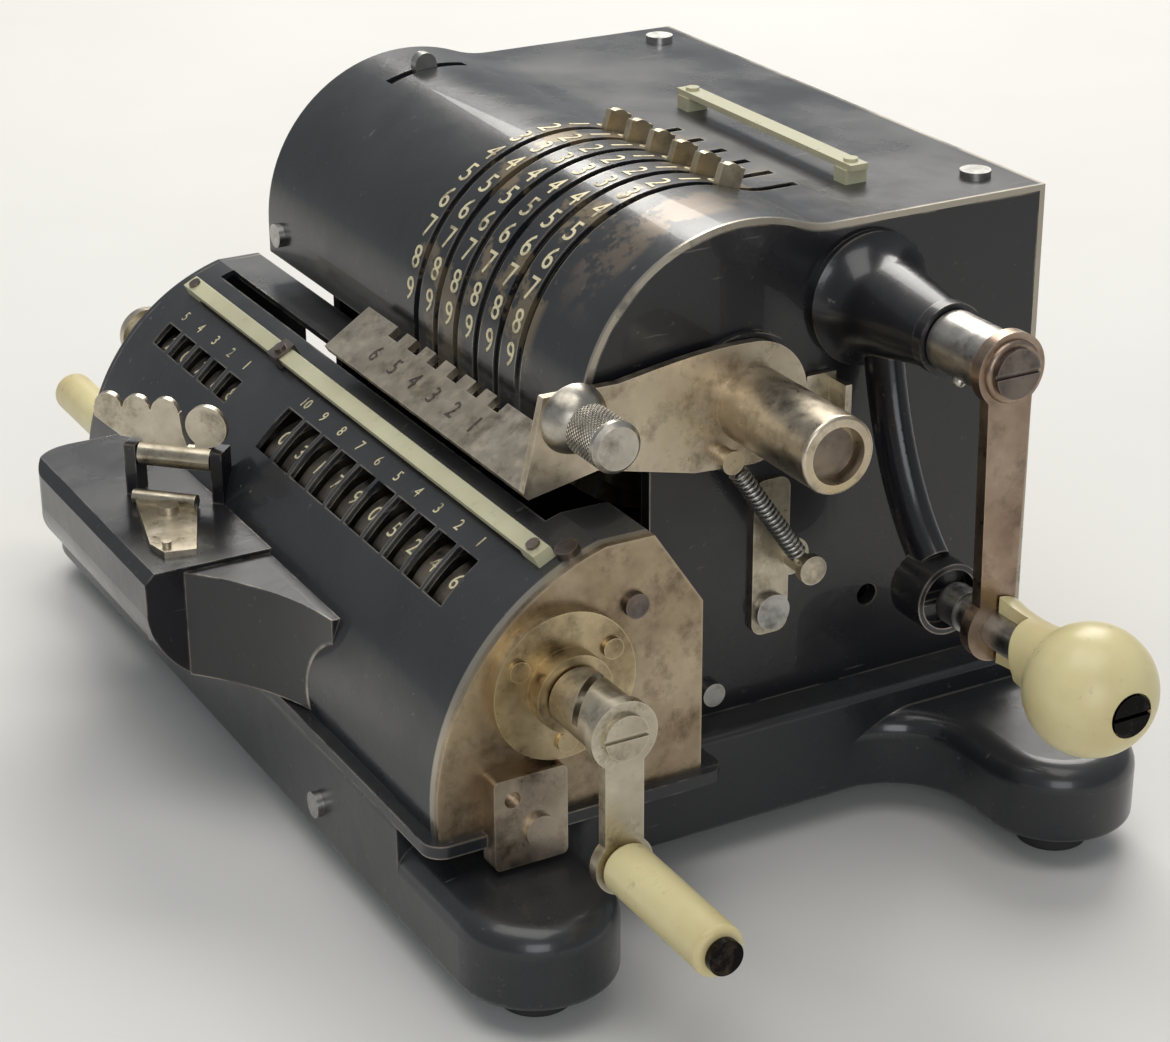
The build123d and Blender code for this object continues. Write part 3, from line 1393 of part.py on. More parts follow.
# ---------------------------------------------------------------- grip and release lever
release_way = Vector(cos(radians(release_turn)), sin(radians(release_turn)), 0)
release_start = Vector(release_x, release_y, release_z)
release_plane = Plane(
    origin=release_start, x_dir=release_way, z_dir=release_way.cross(Vector(0, 0, 1))
)


def release_block(start, finish, low, high, thickness, mode=Mode.ADD):
    with BuildSketch(release_plane.offset(-thickness / 2)) as outline:
        with Locations(((start + finish) / 2, (low + high) / 2)):
            Rectangle(finish - start, high - low)
    extrude(outline.sketch, amount=thickness, mode=mode)


def release_rod(start, finish, radius, mode=Mode.ADD):
    rod_start = release_start + release_way * start
    with BuildSketch(Plane(origin=rod_start, z_dir=release_way)) as outline:
        Circle(radius)
    extrude(outline.sketch, amount=finish - start, mode=mode)


neck_front_y = horn_front_y + neck_inset
ear_low = horn_top_z - release_z - release_ear_foot
ear_top = release_shaft_r + release_tube - ear_step
ear_start = -seat_gap - release_ear
ear_end = release_length + seat_gap + release_ear
with BuildPart() as carriage_horn:
    with BuildSketch(Plane.XY.offset(horn_low_z)):
        with BuildLine():
            Polyline(
                (horn_left_x + horn_corner, horn_front_y), (horn_right_x, horn_front_y),
                (horn_right_x, horn_back_y), (horn_left_x, horn_back_y),
                (horn_left_x, horn_front_y + horn_corner),
            )
            RadiusArc(
                (horn_left_x, horn_front_y + horn_corner), (horn_left_x + horn_corner, horn_front_y),
                -horn_corner,
            )
        make_face()
    extrude(amount=horn_top_z - horn_low_z)
    with BuildSketch(side_plane(horn_left_x)):
        with BuildLine():
            Polyline(
                (horn_front_y + horn_belly, horn_low_z), (horn_back_y, horn_low_z),
                (horn_back_y, horn_top_z), (horn_front_y + horn_lip, horn_top_z),
                (horn_front_y, horn_top_z - horn_lip), (horn_front_y, horn_top_z - horn_face),
            )
            ThreePointArc(
                (horn_front_y, horn_top_z - horn_face),
                (horn_front_y + 0.3 * horn_belly, horn_low_z + 0.35 * horn_belly),
                (horn_front_y + horn_belly, horn_low_z),
            )
        make_face()
    extrude(amount=horn_right_x - horn_left_x, mode=Mode.INTERSECT)
    with BuildSketch(Plane.XY.offset(horn_low_z + neck_rise)):
        with BuildLine():
            Spline(
                (horn_right_x, neck_front_y), (horn_right_x + 6.0, neck_front_y + 5.0),
                (horn_right_x + 16.0, neck_front_y + 11.0), (neck_right_x, neck_front_y + 16.0),
            )
            Polyline(
                (neck_right_x, neck_front_y + 16.0), (neck_right_x, horn_back_y),
                (horn_right_x, horn_back_y), (horn_right_x, neck_front_y),
            )
        make_face()
    extrude(amount=horn_height - neck_drop)
    release_block(ear_start, -seat_gap, ear_low, ear_top, release_ear_width)
    release_block(release_length + seat_gap, ear_end, ear_low, ear_top, release_ear_width)
    release_rod(ear_start, ear_end, release_shaft_r)
    bar_x(horn_left_x, neck_right_x, carriage_axis_y, carriage_axis_z, carriage_r, mode=Mode.SUBTRACT)
    block(
        horn_left_x, horn_right_x, bed_front_y - seat_gap, carriage_axis_y,
        horn_low_z, bed_top_z + seat_gap, mode=Mode.SUBTRACT,
    )
carriage_horn.part.label = "carriage_horn"
export_step(carriage_horn.part.moved(to_origin), "parts/carriage_horn.step")


def clip_point(distance):
    place = release_start + release_way * distance + release_plane.z_dir * clip_offset
    return (place.X, place.Y)


clip_tip_y = horn_front_y + clip_tip_inset
clip_screw_x = release_x + clip_screw_side
with BuildPart() as horn_clip:
    with BuildSketch(Plane.XY.offset(horn_top_z)):
        with BuildLine():
            Polyline(
                clip_point(clip_start), clip_point(clip_start + clip_length),
                (clip_tip_x + 3.7, clip_tip_y + 4.6), (clip_tip_x + 2.2, clip_tip_y - 1.4),
                (clip_tip_x - 2.8, clip_tip_y - 2.4), close=True,
            )
        make_face()
    extrude(amount=clip_thickness)
    roll_start = (*clip_point(clip_start), horn_top_z + clip_barrel_r)
    with BuildSketch(Plane(origin=roll_start, z_dir=release_way)):
        Circle(clip_barrel_r)
    extrude(amount=clip_length)
    with Locations((clip_screw_x, release_y - seat_gap, horn_top_z + clip_thickness)):
        Cylinder(clip_screw_r, clip_screw_height, align=(Align.CENTER, Align.CENTER, Align.MIN))
    with Locations((clip_tip_x, clip_tip_y, horn_top_z + clip_thickness)):
        Cylinder(clip_pin_r, clip_screw_height, align=(Align.CENTER, Align.CENTER, Align.MIN))
horn_clip.part.label = "horn_clip"
export_step(horn_clip.part.moved(to_origin), "parts/horn_clip.step")

scallop_z = release_top - scallop_drop
with BuildPart() as release_lever:
    release_rod(0, release_length, release_shaft_r + release_tube)
    with BuildSketch(release_plane.offset(-release_sheet / 2)):
        with BuildLine():
            Polyline(
                (-0.2, release_lift), (-4.0, release_lift + 0.2), (scallop_left, release_lift + 4.0),
                (scallop_left, scallop_z), (9.0, scallop_z), (9.5, release_lift + 2.0),
                (11.0, 0), (1.0, 0), close=True,
            )
        make_face()
        with Locations(*[(scallop_left + (2 * i + 1) * scallop_pitch, scallop_z) for i in range(3)]):
            Circle(scallop_r)
        with Locations((wing_place, release_top - wing_r)):
            Circle(wing_r)
        with Locations((wing_place - wing_neck_shift, (release_top - wing_r) / 2)):
            Rectangle(wing_neck, release_top - wing_r)
    extrude(amount=release_sheet)
    release_block(
        ear_start - seat_gap, 0, ear_low, release_lift, release_ear_width + 1, mode=Mode.SUBTRACT
    )
    release_rod(ear_start, ear_end, release_shaft_r + running_fit, mode=Mode.SUBTRACT)
release_lever.part.label = "release_lever"
export_step(release_lever.part.moved(to_origin), "parts/release_lever.step")
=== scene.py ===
from math import cos, pi, radians, sin

import bmesh
import bpy
from mathutils import Matrix, Vector


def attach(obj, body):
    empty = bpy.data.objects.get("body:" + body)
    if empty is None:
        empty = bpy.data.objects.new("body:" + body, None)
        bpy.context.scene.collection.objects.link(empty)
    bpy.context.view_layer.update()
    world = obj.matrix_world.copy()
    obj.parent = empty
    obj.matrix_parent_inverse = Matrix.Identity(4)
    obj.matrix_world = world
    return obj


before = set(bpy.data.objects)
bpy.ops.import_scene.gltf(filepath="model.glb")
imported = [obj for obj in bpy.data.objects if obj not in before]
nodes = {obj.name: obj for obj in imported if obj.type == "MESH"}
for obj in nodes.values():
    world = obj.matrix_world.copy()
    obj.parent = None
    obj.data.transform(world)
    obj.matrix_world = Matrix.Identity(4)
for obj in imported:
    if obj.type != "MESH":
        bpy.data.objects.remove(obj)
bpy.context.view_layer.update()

# ------------------------------------------------------------------ sizes, in metres
mm = 0.001
origin_right = 5.565 * mm
origin_front = 14.25 * mm
digit_pitch = 8.5 * mm
lever_count = 6
first_lever_x = 3.7 * mm - origin_right
drum_axis = Vector((0.0, origin_front, 91.0 * mm))
cover_radius = 34.0 * mm
lever_zero_angle = radians(-18.4)
lever_step = radians(11.0)
carriage_axis = Vector((0.0, -28.6 * mm + origin_front, 34.8 * mm))
carriage_radius = 45.7 * mm
register_axis = Vector((0.0, -50.4 * mm + origin_front, 55.7 * mm))
wheel_radius = 13.6 * mm
result_first_x = -8.05 * mm - origin_right
result_count = 10
counter_first_x = -69.7 * mm - origin_right
counter_count = 5
cover_right_x = 70.0 * mm - origin_right
cover_back_y = 67.0 * mm + origin_front
carriage_right_x = 91.6 * mm - origin_right
sleeve_end_x = 111.6 * mm - origin_right
stem_black_x = 140.0 * mm - origin_right
handle_black_x = 122.0 * mm - origin_right
knob_centre = drum_axis + Vector((0.0, -37.0 * mm, 4.5 * mm))
knob_radius = 5.5 * mm
knurl_pitch = 1.0 * mm
knurl_left_x = 79.0 * mm - origin_right
knurl_right_x = 87.5 * mm - origin_right

# Numbers: heights, where they lie, and how far they stand off their surface.
number_lift = 0.06 * mm
setting_number_height = 4.9 * mm
place_number_height = 2.5 * mm
wheel_number_height = 3.6 * mm
left_of_slot = 3.3 * mm
result_place_angle = radians(32.6)
counter_place_angle = radians(34.6)
window_angle = radians(35.8)
comb_slope = radians(33.0)
comb_reach = 37.0 * mm
comb_turn = radians(2.0)
comb_number_drop = 7.2 * mm
comb_number_scale = 0.8


# ------------------------------------------------------------------ materials
class Recipe:
    """A node material whose pattern follows the piece's own coordinates."""

    def __init__(self, name):
        self.material = bpy.data.materials.new(name)
        self.material.use_nodes = True
        self.tree = self.material.node_tree
        self.shader = self.tree.nodes["Principled BSDF"]
        self.place = self.tree.nodes.new("ShaderNodeTexCoord").outputs["Object"]

    def node(self, kind, **settings):
        made = self.tree.nodes.new(kind)
        for key, value in settings.items():
            setattr(made, key, value)
        return made

    def join(self, source, target):
        self.tree.links.new(source, target)

    def stretched(self, scale):
        mapping = self.node("ShaderNodeMapping")
        mapping.inputs["Scale"].default_value = scale
        self.join(self.place, mapping.inputs["Vector"])
        return mapping.outputs["Vector"]

    def noise(self, scale, detail=5.0, roughness=0.55, stretch=None):
        texture = self.node("ShaderNodeTexNoise")
        texture.inputs["Scale"].default_value = scale
        texture.inputs["Detail"].default_value = detail
        texture.inputs["Roughness"].default_value = roughness
        self.join(self.stretched(stretch) if stretch else self.place, texture.inputs["Vector"])
        return texture.outputs["Fac"]

    def ramp(self, source, low, high, start=0.0, end=1.0):
        mapped = self.node("ShaderNodeMapRange", clamp=True)
        mapped.inputs["From Min"].default_value = low
        mapped.inputs["From Max"].default_value = high
        mapped.inputs["To Min"].default_value = start
        mapped.inputs["To Max"].default_value = end
        self.join(source, mapped.inputs["Value"])
        return mapped.outputs["Result"]

    def math(self, kind, first, second=0.0):
        made = self.node("ShaderNodeMath", operation=kind)
        for socket, value in zip(made.inputs, (first, second)):
            if isinstance(value, (int, float)):
                socket.default_value = value
            else:
                self.join(value, socket)
        return made.outputs["Value"]

    def mix(self, amount, first, second):
        made = self.node("ShaderNodeMix", data_type="RGBA")
        self.join(amount, made.inputs["Factor"])
        for socket, value in zip((made.inputs["A"], made.inputs["B"]), (first, second)):
            if isinstance(value, tuple):
                socket.default_value = (*value, 1.0)
            else:
                self.join(value, socket)
        return made.outputs["Result"]

    def edges(self, radius):
        """High where the surface turns sharply, as at a worn corner."""
        rounded = self.node("ShaderNodeBevel", samples=6)
        rounded.inputs["Radius"].default_value = radius
        flat = self.node("ShaderNodeNewGeometry")
        dot = self.node("ShaderNodeVectorMath", operation="DOT_PRODUCT")
        self.join(rounded.outputs["Normal"], dot.inputs[0])
        self.join(flat.outputs["Normal"], dot.inputs[1])
        return self.ramp(self.math("SUBTRACT", 1.0, dot.outputs["Value"]), 0.02, 0.16)

    def past(self, axis, start, end):
        """Rises from 0 at start to 1 at end along one of the piece's own axes."""
        split = self.node("ShaderNodeSeparateXYZ")
        self.join(self.place, split.inputs["Vector"])
        return self.ramp(split.outputs[axis], start, end)

    def band(self, axis, start, end, fade):
        """1 between start and end along one of the piece's own axes, and 0 beyond a soft border."""
        rising = self.past(axis, start - fade, start + fade)
        falling = self.past(axis, end + fade, end - fade)
        return self.math("MULTIPLY", rising, falling)

    def knurl(self, centre, radius, pitch):
        """Crossed ridges around an axis along X through centre."""
        split = self.node("ShaderNodeSeparateXYZ")
        self.join(self.place, split.inputs["Vector"])
        angle = self.math(
            "ARCTAN2", self.math("SUBTRACT", split.outputs["Z"], centre.z),
            self.math("SUBTRACT", split.outputs["Y"], centre.y),
        )
        count = round(2 * pi * radius / pitch)
        around = self.math("MULTIPLY", angle, count)
        along = self.math("MULTIPLY", split.outputs["X"], 2 * pi / pitch)
        crossed = []
        for way in ("ADD", "SUBTRACT"):
            half_phase = self.math("MULTIPLY", self.math(way, around, along), 0.5)
            crossed.append(self.math("ABSOLUTE", self.math("SINE", half_phase)))
        return self.math("MINIMUM", *crossed)

    def facing_up(self):
        """High on surfaces that face the ceiling, where dust settles and where a painted sheen lightens the
        tops.
        """
        normal = self.node("ShaderNodeNewGeometry").outputs["Normal"]
        split = self.node("ShaderNodeSeparateXYZ")
        self.join(normal, split.inputs["Vector"])
        return self.ramp(split.outputs["Z"], 0.2, 0.95)

    def bump(self, height, distance, strength=0.5):
        made = self.node("ShaderNodeBump")
        made.inputs["Strength"].default_value = strength
        made.inputs["Distance"].default_value = distance
        self.join(height, made.inputs["Height"])
        self.join(made.outputs["Normal"], self.shader.inputs["Normal"])

    def finish(self, colour, roughness, metal, **fixed):
        for name, value in (("Base Color", colour), ("Roughness", roughness), ("Metallic", metal)):
            if isinstance(value, (int, float)):
                self.shader.inputs[name].default_value = value
            else:
                self.join(value, self.shader.inputs[name])
        for name, value in fixed.items():
            self.shader.inputs[name.replace("_", " ")].default_value = value
        return self.material


def black_enamel(name, body=(0.013, 0.014, 0.017), dust_and_sheen=(0.058, 0.057, 0.054), rims=(), patches=()):
    """Glossy enamel, rubbed to metal along edges and rims, and worn off in patches; up-facing tops are
    lightened by dust and a painted sheen.
    """
    worn = (0.42, 0.38, 0.31)
    made = Recipe(name)
    cloud = made.noise(38.0, 6.0)
    speck = made.noise(420.0, 4.0, 0.7)
    # Up-facing surfaces are lightened: partly real dust, partly a painted sheen of light from above.
    dust_and_sheen_mask = made.math("MULTIPLY", made.facing_up(), made.ramp(cloud, 0.30, 0.72, 0.25, 1.0))
    painted = made.mix(made.math("MULTIPLY", dust_and_sheen_mask, 0.75), body, dust_and_sheen)
    freckled = made.mix(made.ramp(speck, 0.66, 0.74, 0.0, 0.5), painted, (0.13, 0.12, 0.11))
    rubbed = made.math("MULTIPLY", made.edges(0.0007), made.ramp(made.noise(90.0), 0.42, 0.60))
    patchy = made.ramp(made.noise(70.0, 5.0), 0.30, 0.42)
    for axis, start, end in rims:
        rubbed = made.math("MAXIMUM", rubbed, made.math("MULTIPLY", made.past(axis, start, end), patchy))
    colour = made.mix(rubbed, freckled, worn)
    for (left, right), (front, back), share, bare in patches:
        area = made.math("MULTIPLY", made.band("X", left, right, 0.001), made.band("Y", front, back, 0.006))
        worn_off = made.ramp(made.noise(75.0, 7.0, 0.65), share, share + 0.05)
        amount = made.math("MULTIPLY", area, worn_off)
        colour = made.mix(amount, colour, bare)
        rubbed = made.math("MAXIMUM", rubbed, made.math("MULTIPLY", amount, 0.6))
    scratches = made.ramp(made.noise(9.0, 3.0, 0.5, (60.0, 6.0, 60.0)), 0.70, 0.74, 0.0, 0.35)
    colour = made.mix(scratches, colour, (0.20, 0.19, 0.17))
    made.bump(made.noise(160.0, 5.0), 0.0004, 0.22)
    rough = made.ramp(cloud, 0.3, 0.75, 0.20, 0.42)
    return made.finish(
        colour, rough, made.math("MULTIPLY", rubbed, 0.85), Specular_IOR_Level=0.5, Coat_Weight=0.25,
    )


def worn_metal(name, bright, dull, grime, edge=0.0006, parts=(), knurled=None):
    """Tarnished metal with dirt; each of parts is another pair of colours beyond a plane."""
    made = Recipe(name)
    cloud = made.noise(55.0, 6.0, 0.6)
    fine = made.noise(300.0, 5.0, 0.6)
    for axis, start, end, other_bright, other_dull in parts:
        beyond = made.past(axis, start, end)
        bright = made.mix(beyond, bright, other_bright)
        dull = made.mix(beyond, dull, other_dull)
    tarnished = made.mix(made.ramp(cloud, 0.34, 0.66), bright, dull)
    dirt = made.math("MULTIPLY", made.ramp(made.noise(130.0, 6.0, 0.7), 0.50, 0.70), 0.75)
    dirty = made.mix(dirt, tarnished, grime)
    colour = made.mix(made.math("MULTIPLY", made.edges(edge), 0.8), dirty, bright)
    if knurled:
        centre, radius, pitch, start, end = knurled
        ridges = made.math("MULTIPLY", made.knurl(centre, radius, pitch), made.band("X", start, end, 0.0002))
        made.bump(ridges, 0.0005, 0.9)
    else:
        made.bump(fine, 0.0002, 0.25)
    return made.finish(colour, made.ramp(fine, 0.3, 0.7, 0.24, 0.46), 1.0)


def cream_celluloid(name, clean=(0.74, 0.66, 0.36), shade=(0.60, 0.50, 0.25)):
    made = Recipe(name)
    cloud = made.noise(45.0, 5.0)
    base = made.mix(made.ramp(cloud, 0.35, 0.70), clean, shade)
    dirt = made.ramp(made.noise(240.0, 6.0, 0.7), 0.60, 0.74, 0.0, 0.45)
    colour = made.mix(dirt, base, (0.24, 0.17, 0.09))
    made.bump(made.noise(190.0, 4.0), 0.0002, 0.15)
    return made.finish(
        colour, made.ramp(cloud, 0.3, 0.7, 0.26, 0.40), 0.0,
        Subsurface_Weight=0.08, Subsurface_Scale=0.004,
    )


def old_rubber(name):
    made = Recipe(name)
    colour = made.mix(made.noise(120.0), (0.012, 0.012, 0.012), (0.045, 0.042, 0.038))
    made.bump(made.noise(600.0, 3.0), 0.0003, 0.4)
    return made.finish(colour, 0.75, 0.0)


def worn_gilding(name):
    made = Recipe(name)
    gone = made.ramp(made.noise(260.0, 5.0, 0.65), 0.50, 0.66)
    colour = made.mix(gone, (0.78, 0.70, 0.46), (0.24, 0.20, 0.14))
    return made.finish(colour, 0.5, 0.35)


# A patch holds its limits in X, its limits in Y, how rare its bare spots are, and their colour.
bare_patch = (
    (51.5 * mm - origin_right, 63.5 * mm - origin_right),
    (-24.0 * mm + origin_front, 6.0 * mm + origin_front),
    0.49, (0.17, 0.135, 0.10),
)
slot_wear = (
    (0.5 * mm - origin_right, 49.5 * mm - origin_right),
    (-33.5 * mm + origin_front, 22.0 * mm + origin_front),
    0.53, (0.23, 0.18, 0.11),
)
enamel = black_enamel("black_enamel_worn")
cover_enamel = black_enamel(
    "black_enamel_cover",
    rims=(
        ("X", cover_right_x - 0.9 * mm, cover_right_x - 0.5 * mm),
        ("Y", cover_back_y - 1.0 * mm, cover_back_y - 0.5 * mm),
    ),
    patches=(bare_patch, slot_wear),
)
carriage_enamel = black_enamel(
    "black_enamel_carriage", rims=(("X", carriage_right_x - 3.2 * mm, carriage_right_x - 2.8 * mm),),
)
# A darker copy of the same enamel: painted shade for the side plates, horn and crank bearing, which face
# away from the light.
shaded_enamel = black_enamel("black_enamel_side_painted_shade", (0.008, 0.008, 0.010), (0.028, 0.027, 0.026))
nickel = worn_metal("nickel_worn", (0.66, 0.60, 0.48), (0.40, 0.35, 0.26), (0.12, 0.09, 0.06))
arm_nickel = worn_metal(
    "crank_arm_patina", (0.62, 0.59, 0.54), (0.38, 0.35, 0.31), (0.13, 0.10, 0.08),
    parts=(("X", sleeve_end_x - 0.1 * mm, sleeve_end_x, (0.46, 0.36, 0.28), (0.26, 0.18, 0.13)),),
)
bronze = worn_metal(
    "bronze_plate_brown", (0.50, 0.41, 0.29), (0.26, 0.19, 0.12), (0.10, 0.07, 0.04), edge=0.0012,
)
# Bright and dull colours of a blackened end face.
black_end = ((0.012, 0.011, 0.011), (0.006, 0.006, 0.006))
stem_steel = worn_metal(
    "crank_stem_steel", (0.55, 0.54, 0.51), (0.32, 0.31, 0.29), (0.10, 0.09, 0.08),
    parts=(("X", stem_black_x, stem_black_x + 1.0 * mm, *black_end),),
)
clear_crank_nickel = worn_metal(
    "clear_crank_nickel", (0.66, 0.60, 0.48), (0.40, 0.35, 0.26), (0.12, 0.09, 0.06),
    parts=(("X", handle_black_x, handle_black_x + 1.0 * mm, *black_end),),
)
knob_nickel = worn_metal(
    "comb_knob_knurled", (0.66, 0.62, 0.54), (0.40, 0.37, 0.31), (0.12, 0.10, 0.08),
    knurled=(knob_centre, knob_radius, knurl_pitch, knurl_left_x, knurl_right_x),
)
brass = worn_metal("brass_turned", (0.66, 0.54, 0.34), (0.38, 0.29, 0.17), (0.12, 0.09, 0.05))
steel = worn_metal("steel_turned", (0.55, 0.54, 0.51), (0.32, 0.31, 0.29), (0.10, 0.09, 0.08))
dark_steel = worn_metal("screw_steel_dark", (0.26, 0.22, 0.19), (0.10, 0.08, 0.07), (0.04, 0.03, 0.03))
ivory_brass = worn_metal("lever_brass_pale", (0.78, 0.68, 0.48), (0.58, 0.47, 0.30), (0.20, 0.14, 0.08))
warm_nickel = worn_metal("comb_nickel_warm", (0.68, 0.60, 0.47), (0.50, 0.42, 0.31), (0.16, 0.12, 0.08))
block_bronze = worn_metal("stop_block_bronze", (0.58, 0.50, 0.40), (0.34, 0.27, 0.20), (0.10, 0.07, 0.05))
wheel_finish = worn_metal("number_wheel_aged", (0.34, 0.29, 0.22), (0.15, 0.13, 0.11), (0.06, 0.05, 0.04))
cream = cream_celluloid("cream_celluloid")
rail_cream = cream_celluloid("cream_rail", (0.56, 0.54, 0.36), (0.44, 0.42, 0.27))
rubber = old_rubber("foot_rubber")
gilding = worn_gilding("digit_gilding")

finish_of = {
    "base_frame": enamel, "top_cover": cover_enamel, "carriage_cover": carriage_enamel,
    "carriage_horn": shaded_enamel, "carriage_left_plate": enamel, "carriage_bed": enamel,
    "left_side_plate": shaded_enamel, "right_side_plate": shaded_enamel, "crank_bearing": shaded_enamel,
    "comb_strap": nickel, "rubber_feet": rubber, "frame_screws": steel,
    "carriage_screws": dark_steel, "hub_catch": nickel, "setting_point_rail": rail_cream,
    "carriage_point_rail": rail_cream, "ball_handle": cream, "result_clear_handle": cream,
    "counter_clear_handle": cream, "comb_spring": steel, "crank_shaft": dark_steel,
    "crank_stem": stem_steel, "idler_gear": steel, "drum_shaft": dark_steel, "setting_pins": steel,
    "register_shaft": steel, "crank_arm": arm_nickel, "comb_bar": warm_nickel, "comb_knob": knob_nickel,
    "result_clear_crank": clear_crank_nickel, "counter_clear_crank": nickel, "horn_clip": nickel,
    "stop_block": block_bronze, "release_lever": nickel, "sign_lever": steel, "decimal_pointer": dark_steel,
    "carriage_right_plate": bronze, "clearing_bearings": brass, "pinwheel_discs": brass,
}
for node_name, node in nodes.items():
    if node_name.startswith("setting_lever"):
        chosen = ivory_brass
    elif "_wheel_" in node_name:
        chosen = wheel_finish
    else:
        chosen = finish_of[node_name]
    if not node.data.materials:
        node.data.materials.append(chosen)
    for index in range(len(node.material_slots)):
        node.material_slots[index].material = chosen


# ------------------------------------------------------------------ small helpers
def piece_from(mesh_builder, name, body, finish):
    mesh = bpy.data.meshes.new(name)
    mesh_builder.to_mesh(mesh)
    mesh_builder.free()
    mesh.materials.append(finish)
    piece = bpy.data.objects.new(name, mesh)
    bpy.context.scene.collection.objects.link(piece)
    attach(piece, body)
    return piece


def number_mesh(text, height):
    """A flat number lying in X and Y, centred on the origin, with its top towards +Y."""
    words = bpy.data.curves.new("number", "FONT")
    words.body = text
    words.size = height / 0.72
    words.align_x = "CENTER"
    words.align_y = "CENTER"
    words.extrude = number_lift
    words.resolution_u = 3
    holder = bpy.data.objects.new("number", words)
    bpy.context.scene.collection.objects.link(holder)
    bpy.context.view_layer.update()
    mesh = bpy.data.meshes.new_from_object(holder.evaluated_get(bpy.context.evaluated_depsgraph_get()))
    bpy.data.objects.remove(holder)
    return mesh


def add_on_cylinder(target, mesh, x, axis, radius, angle, lift):
    """Wraps a flat number onto a cylinder along X; angle runs forward from the top."""
    start = len(target.verts)
    target.from_mesh(mesh)
    target.verts.ensure_lookup_table()
    for vertex in target.verts[start:]:
        turn = angle - vertex.co.y / radius
        reach = radius + lift + vertex.co.z
        vertex.co = Vector((
            x + vertex.co.x, axis.y - reach * sin(turn), axis.z + reach * cos(turn),
        ))


# ------------------------------------------------------------------ numbers
digits = {text: number_mesh(text, setting_number_height) for text in "0123456789"}
narrow = Matrix.Diagonal((0.95, 1.0, 1.0, 1.0))
for mesh in digits.values():
    mesh.transform(narrow)

setting_numbers = bmesh.new()
for lever in range(lever_count):
    column_x = first_lever_x + lever * digit_pitch - left_of_slot
    for digit in range(10):
        angle = lever_zero_angle + digit * lever_step
        add_on_cylinder(
            setting_numbers, digits[str(digit)], column_x, drum_axis, cover_radius, angle, number_lift
        )
piece_from(setting_numbers, "setting_numbers", "base", gilding)

small = {str(n): number_mesh(str(n), place_number_height) for n in range(1, 11)}
place_numbers = bmesh.new()
for first_x, count, angle in (
    (result_first_x, result_count, result_place_angle),
    (counter_first_x, counter_count, counter_place_angle),
):
    for column in range(count):
        add_on_cylinder(
            place_numbers, small[str(count - column)], first_x + column * digit_pitch,
            carriage_axis, carriage_radius, angle, number_lift,
        )
piece_from(place_numbers, "place_numbers", "carriage", gilding)

wheel_digits = {text: number_mesh(text, wheel_number_height) for text in "0123456789"}
shown = {"result": "0317905246", "counter": "20718"}
for group, first_x, count in (
    ("result", result_first_x, result_count),
    ("counter", counter_first_x, counter_count),
):
    for column in range(count):
        wheel_numbers = bmesh.new()
        for step in range(10):
            text = str((int(shown[group][column]) + step) % 10)
            add_on_cylinder(
                wheel_numbers, wheel_digits[text], first_x + column * digit_pitch, register_axis,
                wheel_radius, window_angle + step * pi / 5, number_lift,
            )
        body = f"{group}_{column + 1}"
        piece_from(wheel_numbers, f"{body}_numbers", body, gilding)

# ------------------------------------------------------------------ clearing comb
comb_edge = drum_axis + Vector((0.0, -comb_reach * cos(comb_turn), -comb_reach * sin(comb_turn)))
comb_numbers = bmesh.new()
for lever in range(lever_count):
    start = len(comb_numbers.verts)
    comb_numbers.from_mesh(digits[str(lever_count - lever)])
    comb_numbers.verts.ensure_lookup_table()
    for vertex in comb_numbers.verts[start:]:
        along = comb_number_drop - vertex.co.y * comb_number_scale
        height = number_lift + vertex.co.z
        vertex.co = Vector((
            first_lever_x + lever * digit_pitch + vertex.co.x * comb_number_scale,
            comb_edge.y - along * cos(comb_slope) - height * sin(comb_slope),
            comb_edge.z - along * sin(comb_slope) + height * cos(comb_slope),
        ))
piece_from(comb_numbers, "comb_numbers", "comb", dark_steel)

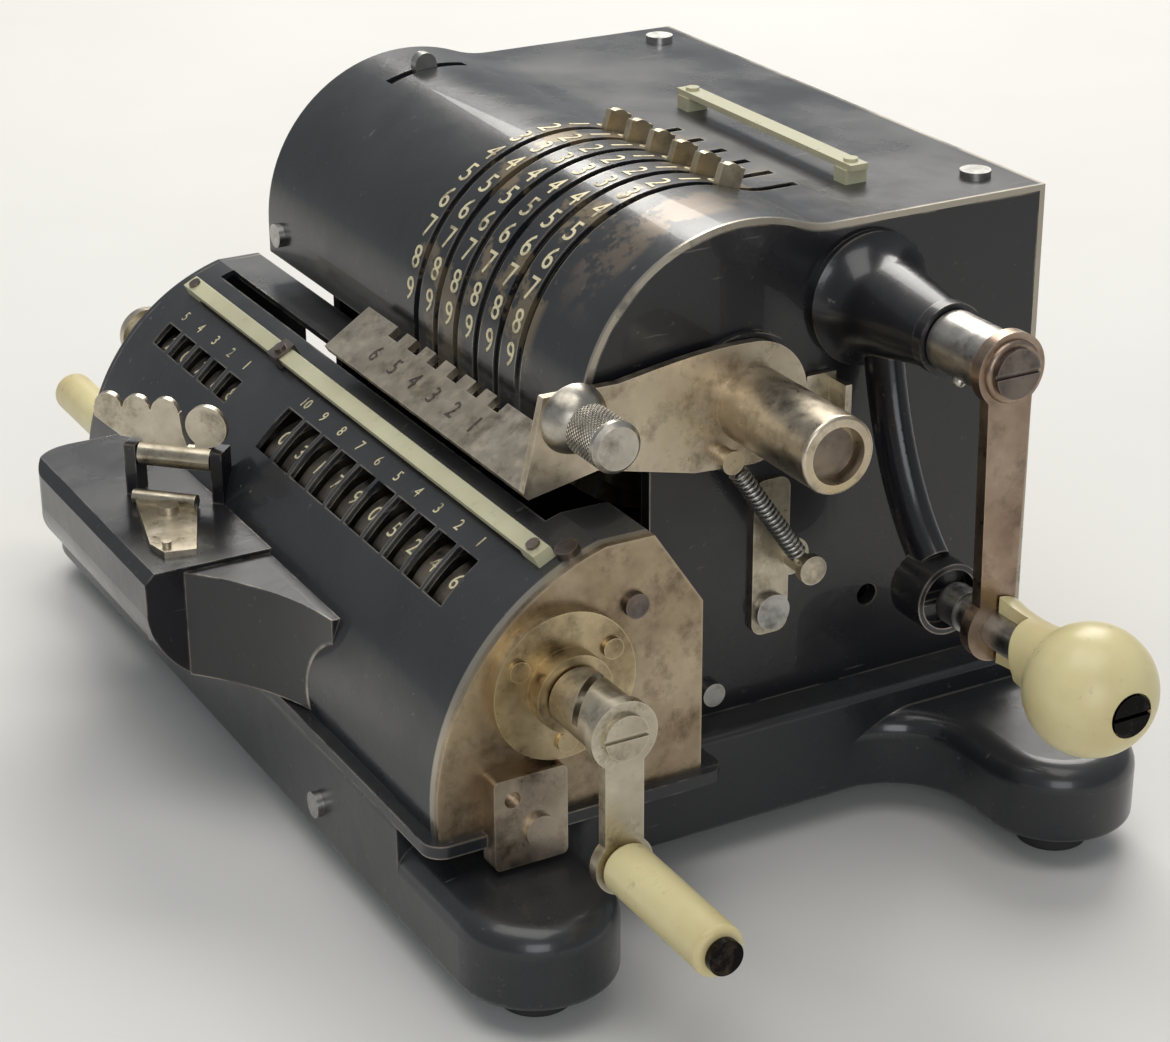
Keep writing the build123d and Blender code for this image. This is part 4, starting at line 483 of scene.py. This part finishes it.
# ------------------------------------------------------------------ floor, light and camera
bpy.ops.mesh.primitive_plane_add(size=6.0, location=(0, 0, 0))
floor = bpy.context.object
floor.name = "floor"
paper = Recipe("floor_paper")
paper_colour = paper.mix(paper.noise(9.0, 3.0), (0.66, 0.65, 0.62), (0.72, 0.71, 0.68))
floor.data.materials.append(paper.finish(paper_colour, 0.85, 0.0))

world = bpy.data.worlds.new("soft_room")
bpy.context.scene.world = world
world.use_nodes = True
world.node_tree.nodes["Background"].inputs["Color"].default_value = (0.80, 0.84, 0.90, 1.0)
world.node_tree.nodes["Background"].inputs["Strength"].default_value = 0.35


def soft_lamp(name, place, target, size, power, colour):
    data = bpy.data.lights.new(name, "AREA")
    data.shape = "RECTANGLE"
    data.size, data.size_y = size
    data.energy = power
    data.color = colour
    lamp = bpy.data.objects.new(name, data)
    lamp.location = place
    lamp.rotation_euler = (Vector(target) - Vector(place)).to_track_quat("-Z", "Y").to_euler()
    bpy.context.scene.collection.objects.link(lamp)


soft_lamp("window", (-0.75, 0.55, 0.95), (0, 0, 0.05), (0.9, 0.7), 13.0, (1.0, 0.97, 0.92))
soft_lamp("ceiling", (0.15, -0.25, 1.25), (0, 0, 0.05), (1.2, 0.8), 7.0, (1.0, 0.98, 0.95))
soft_lamp("right_fill", (1.1, -0.5, 0.45), (0, 0, 0.06), (0.6, 0.6), 3.5, (0.92, 0.95, 1.0))

photo_width, photo_height = 1170.0, 1042.0
focal_pixels = 2762.17
axis_pixel = (593.3, 508.3)
turn = radians(60.915)
rise = radians(23.912)
roll = radians(-0.213)
camera_data = bpy.data.cameras.new("camera")
camera_data.sensor_width = 36.0
camera_data.lens = focal_pixels / photo_width * camera_data.sensor_width
camera_data.shift_x = (photo_width / 2 - axis_pixel[0]) / photo_width
camera_data.shift_y = (axis_pixel[1] - photo_height / 2) / photo_width
camera_data.clip_start = 0.01
camera = bpy.data.objects.new("camera", camera_data)
backward = Vector((sin(turn) * cos(rise), -cos(turn) * cos(rise), sin(rise)))
upright = backward.to_track_quat("Z", "Y").to_matrix().to_4x4()
standpoint = Matrix.Translation(Vector((461.935, -238.05, 277.4)) * mm)
camera.matrix_world = standpoint @ upright @ Matrix.Rotation(roll, 4, "Z")
bpy.context.scene.collection.objects.link(camera)
bpy.context.scene.camera = camera
bpy.context.scene.view_settings.view_transform = "Standard"
